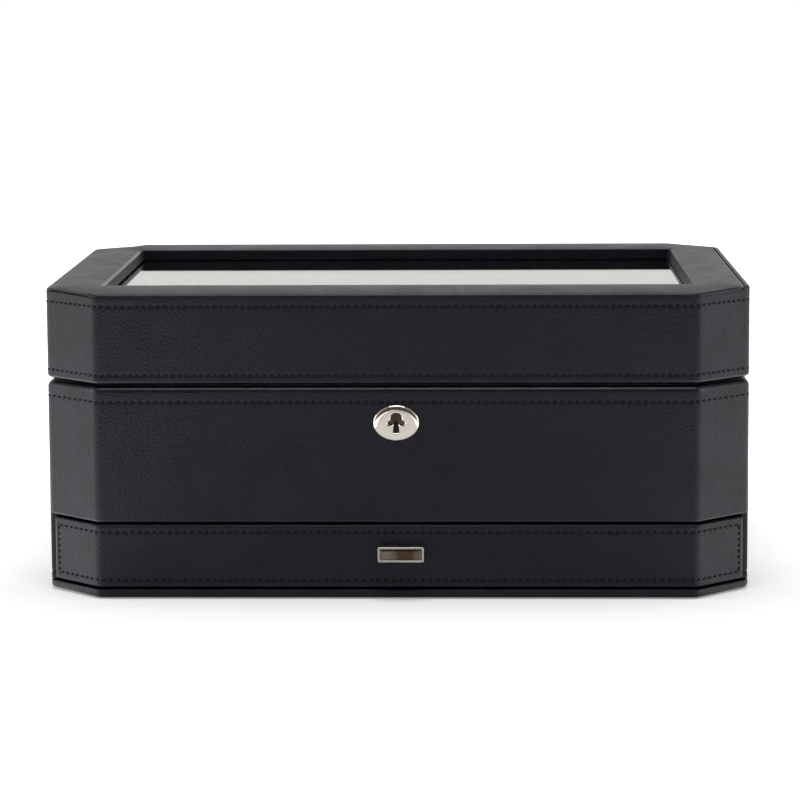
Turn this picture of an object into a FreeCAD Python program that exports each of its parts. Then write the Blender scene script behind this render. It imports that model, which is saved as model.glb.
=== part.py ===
import FreeCAD, Part
import math
import os

from FreeCAD import Vector

# Watch box: leather over board, glazed lid, link-plate lock and a shallow drawer.
# Millimetres. The origin is the middle of the underside, the front faces -Y and +Z is up.

# Outside of the box
WIDTH = 330.0
DEPTH = 210.0
CORNER_X = 25.5
CORNER_Y = 21.5

# Heights of the tiers, from the table up
PLINTH_HEIGHT = 4.5
DRAWER_FOOT_GAP = 0.9
DRAWER_FRONT_HEIGHT = 29.6
DRAWER_HEAD_GAP = 1.2
BODY_HEIGHT = 63.7
LID_GAP = 2.2
LID_HEIGHT = 41.9

# Boards and their leather
WALL = 8.0
LEATHER = 1.2
EDGE_ROUND = 1.6
CORNER_ROUND = 3.0

# Plinth
FELT_PROUD = 0.5
PLINTH_SKIN = 0.8
PLINTH_ROLL = 1.6
PLINTH_ROUND = 2.0
PLINTH_TURN_OVER = 26.0
PLINTH_TURN_UNDER = 10.0
FELT_ROOM = 0.3

# Watch compartment
FLOOR_BOARD = 4.0
LINING = 1.0
LINER = 4.0
LIP_RISE = 6.0
LIP_ROOM = 1.0
LEDGE_BOARD = 3.5
LEDGE_DROP = 0.5
COLUMNS = 5
DIVIDER = 3.0
DIVIDER_HEIGHT = 49.6
LAP_ROOM = 0.1

# Watch cushions
CUSHION_HEIGHT = 38.0
CUSHION_SIDE_ROOM = 3.7
CUSHION_END_ROOM = 5.4
CUSHION_ROUND = 13.0
CUSHION_CROWN = 1.5
CUSHION_DRAW = 4.0
CUSHION_SHOULDER = 5.0

# Lid
RAIL_END = 25.5
RAIL_LONG = 29.0
TOP_BOARD = 4.3
BAND_TURN = 1.8
SEAM = 0.3
GLASS = 3.0
GLASS_BED = 6.0
GLASS_ROOM = 0.2
RETAINER = 4.0
RETAINER_SETBACK = 1.0
LID_LINING = 1.5

# Drawer
SIDE_EDGE = 3.9
DRAWER_END_GAP = 0.5
DRAWER_SIDE = 6.0
DRAWER_BACK = 6.0
DRAWER_BOTTOM = 3.0
DRAWER_BOTTOM_RISE = 1.0
DRAWER_RUN = 0.3
DRAWER_ROOM = 0.5
DRAWER_REAR_ROOM = 1.0
DRAWER_SIDE_DROP = 5.4
DRAWER_BACK_DROP = 2.8
DRAWER_LINING_DROP = 1.0
GUIDE_WIDTH = 8.0
GUIDE_HEIGHT = 10.0
GUIDE_FRONT_ROOM = 6.0
STOP_WIDTH = 30.0
STOP_DEPTH = 10.0
STOP_SETBACK = 27.5
STOP_ROOM = 1.2

# Drawer pull
PULL_RISE = 1.9
PULL_ASIDE = 1.9
PULL_WIDTH = 21.5
PULL_HEIGHT = 7.2
PULL_DEPTH = 5.5
PULL_RIM = 1.0
PULL_DISH = 1.0
PULL_BEVEL = 0.6
PULL_SCREW_SPACING = 12.0
PULL_SCREW_GRIP = 3.0
PULL_SCREW_RADIUS = 1.3
PULL_HEAD_RADIUS = 2.5
PULL_HEAD_HEIGHT = 1.6

# Hinges
HINGE_X = 95.0
HINGE_LENGTH = 36.0
KNUCKLES = 5
KNUCKLE_RADIUS = 2.2
KNUCKLE_ROOM = 0.2
KNUCKLE_GAP = 0.2
PIN_RADIUS = 1.2
PIN_FIT = 0.05
LEAF_WIDTH = 8.0
LEAF_BACKSET = 0.6
PLATE_GAP = 0.2

# Countersunk screws of the hinges and lock plates
SCREW_PITCH = 12.0
SCREW_LENGTH = 7.0
SCREW_RADIUS = 1.0
SCREW_HEAD_RADIUS = 1.9
SCREW_FIT = 0.05

# Lock
LOCK_DROP = 16.7
LOCK_CASE_HEIGHT = 29.0
LOCK_CASE_DEPTH = 7.0
LOCK_BACK_ROOM = 2.5
LOCK_SHEET = 1.0
LOCK_SIDE_ROOM = 0.5
PRONG_X = 11.0
PRONG_THICKNESS = 1.6
PRONG_REACH = 9.0
PRONG_FOOT = 1.6
PRONG_WINDOW = 3.2
PRONG_RAIL = 0.7
PRONG_ROOM = 0.7
PRONG_CLEAR = 0.6
BOLT_THROW = 4.0
BOLT_START = 0.6
BOLT_ARM = 3.0
BOLT_RUN = 0.2
FINGER_ROOM = 0.25
POST_RADIUS = 1.0
POST_ROOM = 0.5
POST_PROUD = 1.2
PLATE_EDGE = 1.4
PLATE_EAR = 8.0
CASE_EAR = 6.0
CASE_EAR_HEIGHT = 12.0
CASE_EAR_SHEET = 1.2
CASE_SCREW_LENGTH = 6.0
CASE_SCREW_HEAD = 1.2

# Escutcheon and keyhole
ESCUTCHEON_WIDTH = 21.4
ESCUTCHEON_HEIGHT = 16.6
ESCUTCHEON_RIM = 0.5
ESCUTCHEON_DOME = 1.6
ESCUTCHEON_CROWN = 0.82
COLLAR_RADIUS = 5.4
COLLAR_LENGTH = 4.0
COLLAR_ROOM = 0.1
KEY_HEAD_RADIUS = 2.6
KEY_HEAD_RISE = 2.2
KEY_SLOT_WIDTH = 2.2
KEY_SLOT_DROP = 4.4
KEY_NOTCH_RADIUS = 0.9
KEY_NOTCH_REACH = 3.9

# Levels worked out from the tiers
Z_PLINTH = PLINTH_HEIGHT
Z_DRAWER = Z_PLINTH + DRAWER_FOOT_GAP
Z_DRAWER_TOP = Z_DRAWER + DRAWER_FRONT_HEIGHT
Z_BODY = Z_DRAWER_TOP + DRAWER_HEAD_GAP
Z_RIM = Z_BODY + BODY_HEIGHT
Z_LID = Z_RIM + LID_GAP
Z_TOP = Z_LID + LID_HEIGHT
Z_FLOOR = Z_BODY + LEATHER
Z_FLOOR_TOP = Z_FLOOR + FLOOR_BOARD
Z_BED = Z_FLOOR_TOP + LINING
Z_TOP_BOARD = Z_TOP - LEATHER - TOP_BOARD
Z_GLASS = Z_TOP_BOARD - GLASS
Z_RETAINER = Z_GLASS - RETAINER
Z_LOCK = Z_RIM - LOCK_DROP
Z_PULL = (Z_DRAWER + Z_DRAWER_TOP) / 2 + PULL_RISE
Z_AXIS = Z_RIM + LID_GAP / 2

# Places worked out from the outside
SHELL = LEATHER + WALL
FRONT_FACE = -DEPTH / 2
FRONT_INSIDE = FRONT_FACE + SHELL
BACK_INSIDE = DEPTH / 2 - SHELL
SIDE_INSIDE = WIDTH / 2 - SHELL
FRONT_WALL_MIDDLE = FRONT_FACE + LEATHER + WALL / 2
BACK_WALL_MIDDLE = DEPTH / 2 - LEATHER - WALL / 2
WINDOW_X = WIDTH / 2 - RAIL_END
WINDOW_Y = DEPTH / 2 - RAIL_LONG
PLATE = (LID_GAP - PLATE_GAP) / 2
AXIS_Y = DEPTH / 2 + KNUCKLE_RADIUS + KNUCKLE_ROOM

SIDES = ["front", "front_right", "right", "rear_right", "back", "rear_left", "left", "front_left"]
FRONT_SIDES = ["front_left", "front", "front_right"]
TINY = 1e-6


# Shape helpers
def box(x0, x1, y0, y1, z0, z1):
    return Part.makeBox(x1 - x0, y1 - y0, z1 - z0, Vector(x0, y0, z0))


def block(half_x, half_y, z0, z1):
    return box(-half_x, half_x, -half_y, half_y, z0, z1)


def rod(radius, start, end):
    run = Vector(*end) - Vector(*start)
    return Part.makeCylinder(radius, run.Length, Vector(*start), run)


def prism(points, z0, z1):
    corners = [Vector(x, y, z0) for x, y in points]
    face = Part.Face(Part.makePolygon(corners + corners[:1]))
    return face.extrude(Vector(0, 0, z1 - z0))


def joined(shapes):
    return shapes[0].fuse(shapes[1:]).removeSplitter()


def mirrored(shape):
    return shape.mirror(Vector(0, 0, 0), Vector(1, 0, 0))


def cut_corners(inset):
    """Half sizes and corner cuts of the plan when every side moves in by inset."""
    slant = math.hypot(CORNER_X, CORNER_Y)
    shrink = inset * (CORNER_X + CORNER_Y - slant)
    return WIDTH / 2 - inset, DEPTH / 2 - inset, CORNER_X - shrink / CORNER_Y, CORNER_Y - shrink / CORNER_X


def octagon(inset):
    """The eight corners of the plan, from the front's left end round by the right."""
    x, y, cut_x, cut_y = cut_corners(inset)
    return [(cut_x - x, -y), (x - cut_x, -y), (x, cut_y - y), (x, y - cut_y),
            (x - cut_x, y), (cut_x - x, y), (-x, y - cut_y), (-x, cut_y - y)]


def ring_board(side, inset, thickness, z0, z1):
    """One board of an eight-sided ring, mitred to its neighbours."""
    outer = octagon(inset)
    inner = octagon(inset + thickness)
    here = SIDES.index(side)
    after = (here + 1) % len(SIDES)
    return prism([outer[here], outer[after], inner[after], inner[here]], z0, z1)


def rounded_plan(z0, z1, top_round, foot_round):
    """The whole plan as a block with rounded corners and softened top and foot edges."""
    solid = prism(octagon(0), z0, z1)
    uprights = [e for e in solid.Edges if abs(e.Vertexes[0].Z - e.Vertexes[1].Z) > TINY]
    solid = solid.makeFillet(CORNER_ROUND, uprights)
    for level, radius in ((z1, top_round), (z0, foot_round)):
        rim = [e for e in solid.Edges if all(abs(v.Z - level) < TINY for v in e.Vertexes)]
        solid = solid.makeFillet(radius, rim)
    return solid


def front_bay(edge, z0, z1):
    """Everything in front of two planes square to the front corners, edge away from the sides."""
    x, y, cut_x, cut_y = cut_corners(0)
    slant = math.hypot(cut_x, cut_y)
    along = (cut_x / slant, cut_y / slant)
    inward = (-along[1], along[0])
    start = (x - edge * along[0], cut_y - y - edge * along[1])
    inner = (start[0] + SHELL * inward[0], start[1] + SHELL * inward[1])
    outer = (start[0] - SHELL * inward[0], start[1] - SHELL * inward[1])
    right = [(outer[0], -DEPTH), outer, inner]
    left = [(-px, py) for px, py in reversed(right)]
    return prism(right + left, z0, z1)


def keyhole(y0, y1):
    """Round head, straight slot and two small side notches, cut along Y."""
    head_z = Z_LOCK + KEY_HEAD_RISE
    half_slot = KEY_SLOT_WIDTH / 2
    shapes = [
        rod(KEY_HEAD_RADIUS, (0, y0, head_z), (0, y1, head_z)),
        box(-half_slot, half_slot, y0, y1, Z_LOCK - KEY_SLOT_DROP, head_z),
        box(-KEY_NOTCH_REACH, KEY_NOTCH_REACH, y0, y1, Z_LOCK - KEY_NOTCH_RADIUS, Z_LOCK + KEY_NOTCH_RADIUS),
    ]
    return joined(shapes)


# Screws that hold the hinges and the lock's plates, and the holes for them
def hinge_screw_places():
    steps = (-SCREW_PITCH, 0, SCREW_PITCH)
    return [(side * HINGE_X + step, BACK_WALL_MIDDLE) for side in (-1, 1) for step in steps]


def plate_screw_places():
    x = lock_half_width() + PLATE_EAR / 2
    return [(-x, FRONT_WALL_MIDDLE), (x, FRONT_WALL_MIDDLE)]


def plate_screw(place, face, up, fit):
    """Countersunk screw whose head fills a plate lying on the face, with fit added all round."""
    x, y = place
    head = Part.makeCone(SCREW_HEAD_RADIUS + fit, SCREW_RADIUS + fit, PLATE,
                         Vector(x, y, face - up * PLATE), Vector(0, 0, up))
    shank = rod(SCREW_RADIUS + fit, (x, y, face), (x, y, face + up * SCREW_LENGTH))
    return joined([head, shank])


def screw_set(face, up, fit):
    return [plate_screw(p, face, up, fit) for p in hinge_screw_places() + plate_screw_places()]


# Plinth
def plinth():
    low = FELT_PROUD + PLINTH_SKIN
    high = Z_PLINTH - PLINTH_SKIN
    board = prism(octagon(PLINTH_ROLL), low, high)
    skin = rounded_plan(FELT_PROUD, Z_PLINTH, PLINTH_SKIN, PLINTH_ROUND)
    skin = skin.cut([board, prism(octagon(PLINTH_TURN_OVER), high, Z_PLINTH),
                     prism(octagon(PLINTH_TURN_UNDER), FELT_PROUD, low)])
    felt = prism(octagon(PLINTH_TURN_UNDER + FELT_ROOM), 0, low)
    return {"base_board": board, "base_leather": skin, "base_felt": felt}


# Lock places that other pieces share
def finger_length():
    return BOLT_THROW + FINGER_ROOM


def bolt_reach():
    """From the middle of the lock to the far side of the bolt's left arm at rest."""
    return PRONG_X + PRONG_THICKNESS / 2 + BOLT_START + finger_length() + BOLT_ARM


def lock_half_width():
    return bolt_reach() + LOCK_SIDE_ROOM + LOCK_SHEET


def lock_case_back():
    return FRONT_INSIDE + LOCK_CASE_DEPTH


def prong_middle():
    return FRONT_INSIDE + LOCK_CASE_DEPTH / 2


def prong_half_depth():
    return LOCK_CASE_DEPTH / 2 - LOCK_SHEET - PRONG_ROOM


def case_screw_places():
    x = lock_half_width() + CASE_EAR / 2
    return [(-x, Z_LOCK), (x, Z_LOCK)]


def case_screw(place, fit):
    x, z = place
    face = FRONT_INSIDE + CASE_EAR_SHEET
    tip = FRONT_INSIDE - CASE_SCREW_LENGTH
    shank = rod(SCREW_RADIUS + fit, (x, tip, z), (x, face, z))
    head = rod(SCREW_HEAD_RADIUS + fit, (x, face, z), (x, face + CASE_SCREW_HEAD, z))
    return joined([shank, head])


# Carcass: eight boards round the body, the drawer bay open at the front
def carcass():
    top = Z_RIM - LEATHER
    screws = screw_set(Z_RIM, -1, SCREW_FIT)
    bore = rod(COLLAR_RADIUS + COLLAR_ROOM, (0, FRONT_FACE, Z_LOCK), (0, FRONT_INSIDE, Z_LOCK))
    case_screws = [case_screw(p, SCREW_FIT) for p in case_screw_places()]
    boards = {}
    for side in SIDES:
        foot = Z_FLOOR if side in FRONT_SIDES else Z_PLINTH
        boards[side] = ring_board(side, LEATHER, WALL, foot, top)
    posts = [boards[s] for s in ("front_left", "front_right", "rear_left", "rear_right")]
    return {
        "front_wall": boards["front"].cut(screws + case_screws + [bore]),
        "back_wall": boards["back"].cut(screws),
        "left_wall": boards["left"],
        "right_wall": boards["right"],
        "corner_posts": Part.makeCompound(posts),
        "body_leather": body_leather(screws, bore),
    }


def body_leather(screws, bore):
    """One skin over the boards: turned in over the rim, under the front and round the bay's edges."""
    skin = rounded_plan(Z_PLINTH, Z_RIM, EDGE_ROUND, LEATHER / 2)
    skin = skin.cut([prism(octagon(LEATHER), Z_PLINTH, Z_RIM - LEATHER),
                     prism(octagon(SHELL), Z_RIM - LEATHER, Z_RIM),
                     front_bay(SIDE_EDGE, Z_PLINTH, Z_BODY)])
    folds = [ring_board(s, LEATHER, WALL, Z_BODY, Z_FLOOR) for s in FRONT_SIDES]
    for side in ("front_left", "front_right"):
        corner = ring_board(side, LEATHER, WALL, Z_PLINTH, Z_BODY)
        folds.append(corner.cut(front_bay(SIDE_EDGE, Z_PLINTH, Z_BODY)))
    return joined([skin] + folds).cut(screws + [bore])


# Watch compartment
def liner_half_sizes():
    """Outside of the liner, whose corners stay clear of the lid's lining."""
    x, y, cut_x, cut_y = cut_corners(SHELL + LID_LINING + LIP_ROOM)
    half_y = BACK_INSIDE - LOCK_CASE_DEPTH - LOCK_BACK_ROOM
    half_x = x - cut_x * max(0, 1 - (y - half_y) / cut_y)
    return half_x, half_y


def compartment():
    half_x, half_y = liner_half_sizes()
    in_x = half_x - LINER
    in_y = half_y - LINER
    lip = Z_RIM + LIP_RISE
    return {
        "compartment_floor": prism(octagon(SHELL), Z_FLOOR, Z_FLOOR_TOP),
        "front_liner": box(-half_x, half_x, -half_y, -in_y, Z_FLOOR_TOP, lip),
        "back_liner": box(-half_x, half_x, in_y, half_y, Z_FLOOR_TOP, lip),
        "left_liner": box(-half_x, -in_x, -in_y, in_y, Z_FLOOR_TOP, lip),
        "right_liner": box(in_x, half_x, -in_y, in_y, Z_FLOOR_TOP, lip),
        "floor_lining": block(in_x, in_y, Z_FLOOR_TOP, Z_BED),
        "rim_ledge": rim_ledge(half_x, half_y),
    }


def rim_ledge(half_x, half_y):
    """Strips that close the space between the walls and the liner, broken for the lock."""
    top = Z_RIM - LEDGE_DROP
    foot = top - LEDGE_BOARD
    ring = prism(octagon(SHELL), foot, top).cut(block(half_x, half_y, foot, top))
    lock_half = lock_half_width() + LOCK_SIDE_ROOM
    front = box(-half_x, half_x, -DEPTH, -half_y, foot, top)
    back = box(-half_x, half_x, half_y, DEPTH, foot, top)
    gap = box(-lock_half, lock_half, -DEPTH, -half_y, foot, top)
    pieces = [ring.common(front).cut(gap), ring.common(back), ring.cut([front, back])]
    return Part.makeCompound([s for piece in pieces for s in piece.Solids])


def slot_size():
    half_x, half_y = liner_half_sizes()
    width = (2 * (half_x - LINER) - (COLUMNS - 1) * DIVIDER) / COLUMNS
    depth = half_y - LINER - DIVIDER / 2
    return width, depth


def slot_middle(column, row):
    width, depth = slot_size()
    x = (column - (COLUMNS - 1) / 2) * (width + DIVIDER)
    y = (row - 0.5) * (depth + DIVIDER)
    return x, y


def dividers():
    """One long board and the cross boards, halved into each other."""
    half_x, half_y = liner_half_sizes()
    width, depth = slot_size()
    top = Z_BED + DIVIDER_HEIGHT
    waist = Z_BED + DIVIDER_HEIGHT / 2
    notch = DIVIDER / 2 + LAP_ROOM
    long_board = box(LINER - half_x, half_x - LINER, -DIVIDER / 2, DIVIDER / 2, Z_BED, top)
    cross_boards = []
    for line in range(1, COLUMNS):
        x = (line - COLUMNS / 2) * (width + DIVIDER)
        long_board = long_board.cut(box(x - notch, x + notch, -DIVIDER, DIVIDER, waist - LAP_ROOM, top))
        cross = box(x - DIVIDER / 2, x + DIVIDER / 2, LINER - half_y, half_y - LINER, Z_BED, top)
        cross_boards.append(cross.cut(box(x - DIVIDER, x + DIVIDER, -notch, notch, Z_BED, waist + LAP_ROOM)))
    return {"long_divider": long_board, "cross_dividers": Part.makeCompound(cross_boards)}


def cushion_section(x, middle_y, half_y, z0, z1):
    """Rounded rectangle across the cushion: four straight runs and four quarter arcs."""
    r = CUSHION_ROUND
    y0 = middle_y - half_y
    y1 = middle_y + half_y
    slack = r * (1 - math.sqrt(0.5))
    runs = [(y0 + r, z0, y1 - r, z0), (y1, z0 + r, y1, z1 - r),
            (y1 - r, z1, y0 + r, z1), (y0, z1 - r, y0, z0 + r)]
    mids = [(y1 - slack, z0 + slack), (y1 - slack, z1 - slack),
            (y0 + slack, z1 - slack), (y0 + slack, z0 + slack)]
    edges = []
    for k, (ya, za, yb, zb) in enumerate(runs):
        ny, nz = runs[(k + 1) % len(runs)][:2]
        my, mz = mids[k]
        edges.append(Part.makeLine(Vector(x, ya, za), Vector(x, yb, zb)))
        edges.append(Part.Arc(Vector(x, yb, zb), Vector(x, my, mz), Vector(x, ny, nz)).toShape())
    return Part.Wire(edges)


def cushion(column, row):
    """A crowned roll across the slot, its ends drawn in, flat where it rests."""
    width, depth = slot_size()
    x, y = slot_middle(column, row)
    half_x = width / 2 - CUSHION_SIDE_ROOM
    half_y = depth / 2 - CUSHION_END_ROOM
    top = Z_BED + CUSHION_HEIGHT
    shoulder = half_x - CUSHION_SHOULDER
    stations = [(-half_x, CUSHION_DRAW, CUSHION_CROWN), (-shoulder, CUSHION_CROWN, 0), (0, 0, 0),
                (shoulder, CUSHION_CROWN, 0), (half_x, CUSHION_DRAW, CUSHION_CROWN)]
    wires = [cushion_section(x + s, y, half_y - d, Z_BED + lift, top - d) for s, d, lift in stations]
    return Part.makeLoft(wires, True, True)


def cushions():
    solids = {}
    for row in range(2):
        for column in range(COLUMNS):
            solids["watch_cushion_%d" % (row * COLUMNS + column + 1)] = cushion(column, row)
    return solids


# Lid
def lid():
    low = Z_LID + LEATHER
    screws = screw_set(Z_LID, 1, SCREW_FIT)
    boards = {s: ring_board(s, LEATHER, WALL, low, Z_TOP_BOARD) for s in SIDES}
    posts = [boards[s] for s in ("front_left", "front_right", "rear_left", "rear_right")]
    linings = [ring_board(s, SHELL, LID_LINING, low, Z_RETAINER) for s in SIDES]
    return {
        "lid_front_wall": boards["front"].cut(screws),
        "lid_back_wall": boards["back"].cut(screws),
        "lid_left_wall": boards["left"],
        "lid_right_wall": boards["right"],
        "lid_corner_posts": Part.makeCompound(posts),
        "lid_lining": Part.makeCompound(linings),
        "lid_top_frame": lid_top_frame(),
        "lid_top_leather": lid_top_leather(),
        "lid_band_leather": lid_band_leather(screws),
        "glass_pane": block(WINDOW_X + GLASS_BED, WINDOW_Y + GLASS_BED, Z_GLASS, Z_TOP_BOARD),
        "glass_retainer": glass_retainer(),
    }


def four_rails(ring, split_x, z0, z1):
    """A frame sawn into long front and back rails between two end rails."""
    front = box(-split_x, split_x, -DEPTH, 0, z0, z1)
    back = box(-split_x, split_x, 0, DEPTH, z0, z1)
    left = box(-WIDTH, -split_x, -DEPTH, DEPTH, z0, z1)
    right = box(split_x, WIDTH, -DEPTH, DEPTH, z0, z1)
    return Part.makeCompound([ring.common(part) for part in (front, back, left, right)])


def lid_top_frame():
    top = Z_TOP - LEATHER
    opening = block(WINDOW_X + LEATHER, WINDOW_Y + LEATHER, Z_TOP_BOARD, top)
    ring = prism(octagon(LEATHER), Z_TOP_BOARD, top).cut(opening)
    return four_rails(ring, WINDOW_X + LEATHER, Z_TOP_BOARD, top)


def lid_top_leather():
    """Flat leather over the frame, turned down the four sides of the window."""
    top = Z_TOP - LEATHER
    sheet = prism(octagon(BAND_TURN + SEAM), top, Z_TOP)
    well = block(WINDOW_X + LEATHER, WINDOW_Y + LEATHER, Z_TOP_BOARD, Z_TOP)
    skin = joined([sheet, well]).cut(block(WINDOW_X, WINDOW_Y, Z_TOP_BOARD, Z_TOP))
    lips = [e for e in skin.Edges if all(abs(v.Z - Z_TOP) < TINY for v in e.Vertexes)
            and all(abs(v.X) < WINDOW_X + TINY and abs(v.Y) < WINDOW_Y + TINY for v in e.Vertexes)]
    return skin.makeFillet(LEATHER, lips)


def lid_band_leather(screws):
    """Upright band round the lid, turned under the walls and a little way over the top."""
    skin = rounded_plan(Z_LID, Z_TOP, EDGE_ROUND, EDGE_ROUND)
    skin = skin.cut([prism(octagon(LEATHER), Z_LID + LEATHER, Z_TOP - LEATHER),
                     prism(octagon(BAND_TURN), Z_TOP - LEATHER, Z_TOP),
                     prism(octagon(SHELL), Z_LID, Z_LID + LEATHER)])
    return skin.cut(screws)


def glass_retainer():
    """Frame under the glass, rebated to hold its edge."""
    opening = block(WINDOW_X + RETAINER_SETBACK, WINDOW_Y + RETAINER_SETBACK, Z_RETAINER, Z_TOP_BOARD)
    bed = GLASS_BED + GLASS_ROOM
    rebate = block(WINDOW_X + bed, WINDOW_Y + bed, Z_GLASS, Z_TOP_BOARD)
    ring = prism(octagon(SHELL), Z_RETAINER, Z_TOP_BOARD).cut([opening, rebate])
    return four_rails(ring, WINDOW_X + RETAINER_SETBACK, Z_RETAINER, Z_TOP_BOARD)


# Hinges
def hinge_leaf(side, z0, z1, turn):
    """Flat leaf whose every second knuckle, from the one numbered turn, goes round the pin."""
    x0 = side * HINGE_X - HINGE_LENGTH / 2
    back = AXIS_Y - KNUCKLE_RADIUS - LEAF_BACKSET
    step = (HINGE_LENGTH + KNUCKLE_GAP) / KNUCKLES
    parts = [box(x0, x0 + HINGE_LENGTH, back - LEAF_WIDTH, back, z0, z1)]
    for k in range(turn, KNUCKLES, 2):
        start = x0 + k * step
        end = start + step - KNUCKLE_GAP
        parts.append(box(start, end, back, AXIS_Y, z0, z1))
        parts.append(rod(KNUCKLE_RADIUS, (start, AXIS_Y, Z_AXIS), (end, AXIS_Y, Z_AXIS)))
    bore = rod(PIN_RADIUS + PIN_FIT, (x0, AXIS_Y, Z_AXIS), (x0 + HINGE_LENGTH, AXIS_Y, Z_AXIS))
    return joined(parts).cut(bore)


def hinge_pin(side):
    x0 = side * HINGE_X - HINGE_LENGTH / 2
    return rod(PIN_RADIUS, (x0, AXIS_Y, Z_AXIS), (x0 + HINGE_LENGTH, AXIS_Y, Z_AXIS))


def hinges():
    body_holes = screw_set(Z_RIM, -1, SCREW_FIT)
    lid_holes = screw_set(Z_LID, 1, SCREW_FIT)
    body = [hinge_leaf(s, Z_RIM, Z_RIM + PLATE, 0).cut(body_holes) for s in (-1, 1)]
    moving = [hinge_leaf(s, Z_LID - PLATE, Z_LID, 1).cut(lid_holes) for s in (-1, 1)]
    return {
        "hinge_body_leaves": Part.makeCompound(body),
        "hinge_lid_leaves": Part.makeCompound(moving),
        "hinge_pins": Part.makeCompound([hinge_pin(s) for s in (-1, 1)]),
        "rim_screws": Part.makeCompound(screw_set(Z_RIM, -1, 0)),
        "lid_screws": Part.makeCompound(screw_set(Z_LID, 1, 0)),
    }


# Lock: case behind the front wall, plates on the rim and lid, sliding bolt, escutcheon
def prong_slot(x, room, z0, z1):
    half_x = PRONG_THICKNESS / 2 + room
    half_y = prong_half_depth() + room
    return box(x - half_x, x + half_x, prong_middle() - half_y, prong_middle() + half_y, z0, z1)


def lock_plate(z0, z1):
    half_x = lock_half_width() + PLATE_EAR
    return box(-half_x, half_x, FRONT_FACE + LEATHER + PLATE_EDGE, lock_case_back(), z0, z1)


def lock_case():
    half_x = lock_half_width()
    foot = Z_RIM - LOCK_CASE_HEIGHT
    back = lock_case_back()
    shell = box(-half_x, half_x, FRONT_INSIDE, back, foot, Z_RIM)
    ear_x = half_x + CASE_EAR
    ear_z = CASE_EAR_HEIGHT / 2
    ears = box(-ear_x, ear_x, FRONT_INSIDE, FRONT_INSIDE + CASE_EAR_SHEET, Z_LOCK - ear_z, Z_LOCK + ear_z)
    hollow = box(LOCK_SHEET - half_x, half_x - LOCK_SHEET, FRONT_INSIDE + LOCK_SHEET, back - LOCK_SHEET,
                 foot + LOCK_SHEET, Z_RIM - LOCK_SHEET)
    slots = [prong_slot(x, PRONG_ROOM, Z_RIM - LOCK_SHEET, Z_RIM) for x in (-PRONG_X, PRONG_X)]
    screws = [case_screw(p, SCREW_FIT) for p in case_screw_places()]
    inside = FRONT_INSIDE + LOCK_SHEET
    shell = joined([shell, ears]).cut([hollow, keyhole(FRONT_INSIDE, inside)] + slots + screws)
    post_z = Z_LOCK + KEY_HEAD_RISE
    post = rod(POST_RADIUS, (0, FRONT_INSIDE - POST_PROUD, post_z), (0, back - LOCK_SHEET / 2, post_z))
    return joined([shell, post])


def lock_bolt():
    """Sliding plate with two arms, each with a finger that enters a prong's window."""
    half_y = prong_half_depth() - PRONG_RAIL - FINGER_ROOM
    y0 = prong_middle() - half_y
    y1 = prong_middle() + half_y
    foot = Z_RIM - LOCK_CASE_HEIGHT + LOCK_SHEET + BOLT_RUN
    shoulder = Z_RIM - PRONG_REACH - PRONG_CLEAR
    window = Z_RIM - PRONG_REACH + PRONG_FOOT
    finger_foot = window + FINGER_ROOM
    finger_top = window + PRONG_WINDOW - FINGER_ROOM
    reach = PRONG_THICKNESS / 2 + BOLT_START
    parts = [box(-bolt_reach(), PRONG_X - reach, y0, y1, foot, shoulder)]
    for x in (-PRONG_X, PRONG_X):
        tip = x - reach
        arm = tip - finger_length()
        parts.append(box(arm - BOLT_ARM, arm, y0, y1, shoulder, finger_top))
        parts.append(box(arm, tip, y0, y1, finger_foot, finger_top))
    post_z = Z_LOCK + KEY_HEAD_RISE
    radius = POST_RADIUS + POST_ROOM
    slot = [rod(radius, (x, y0, post_z), (x, y1, post_z)) for x in (-BOLT_THROW, 0)]
    slot.append(box(-BOLT_THROW, 0, y0, y1, post_z - radius, post_z + radius))
    talon = box(-BOLT_THROW, 0, y0, y1, foot, post_z - BOLT_ARM)
    return joined(parts).cut(slot + [talon])


def link_plate():
    """Plate under the lid with two prongs that drop through the rim plate into the case."""
    foot = Z_LID - PLATE
    half_window = prong_half_depth() - PRONG_RAIL
    window = Z_RIM - PRONG_REACH + PRONG_FOOT
    parts = [lock_plate(foot, Z_LID)]
    cuts = []
    for x in (-PRONG_X, PRONG_X):
        parts.append(prong_slot(x, 0, Z_RIM - PRONG_REACH, foot))
        cuts.append(box(x - PRONG_THICKNESS, x + PRONG_THICKNESS, prong_middle() - half_window,
                        prong_middle() + half_window, window, window + PRONG_WINDOW))
    return joined(parts).cut(cuts + screw_set(Z_LID, 1, SCREW_FIT))


def escutcheon():
    """Domed oval with a keyhole, and a collar behind it that fills the bore in the wall."""
    half_x = ESCUTCHEON_WIDTH / 2
    half_z = ESCUTCHEON_HEIGHT / 2
    levels = [(0, 0), (ESCUTCHEON_RIM, 0), (ESCUTCHEON_DOME, half_z * (1 - ESCUTCHEON_CROWN))]
    turn = FreeCAD.Rotation(Vector(1, 0, 0), Vector(0, 0, 1), Vector(0, -1, 0), "XYZ")
    wires = []
    for height, shrink in levels:
        oval = Part.Ellipse(Vector(0, 0, 0), half_x - shrink, half_z - shrink).toShape()
        oval.Placement = FreeCAD.Placement(Vector(0, FRONT_FACE - height, Z_LOCK), turn)
        wires.append(Part.Wire([oval]))
    dome = Part.makeLoft(wires, True, True)
    collar = rod(COLLAR_RADIUS, (0, FRONT_FACE, Z_LOCK), (0, FRONT_FACE + COLLAR_LENGTH, Z_LOCK))
    return joined([dome, collar]).cut(keyhole(FRONT_FACE - ESCUTCHEON_DOME, FRONT_FACE + COLLAR_LENGTH))


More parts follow.
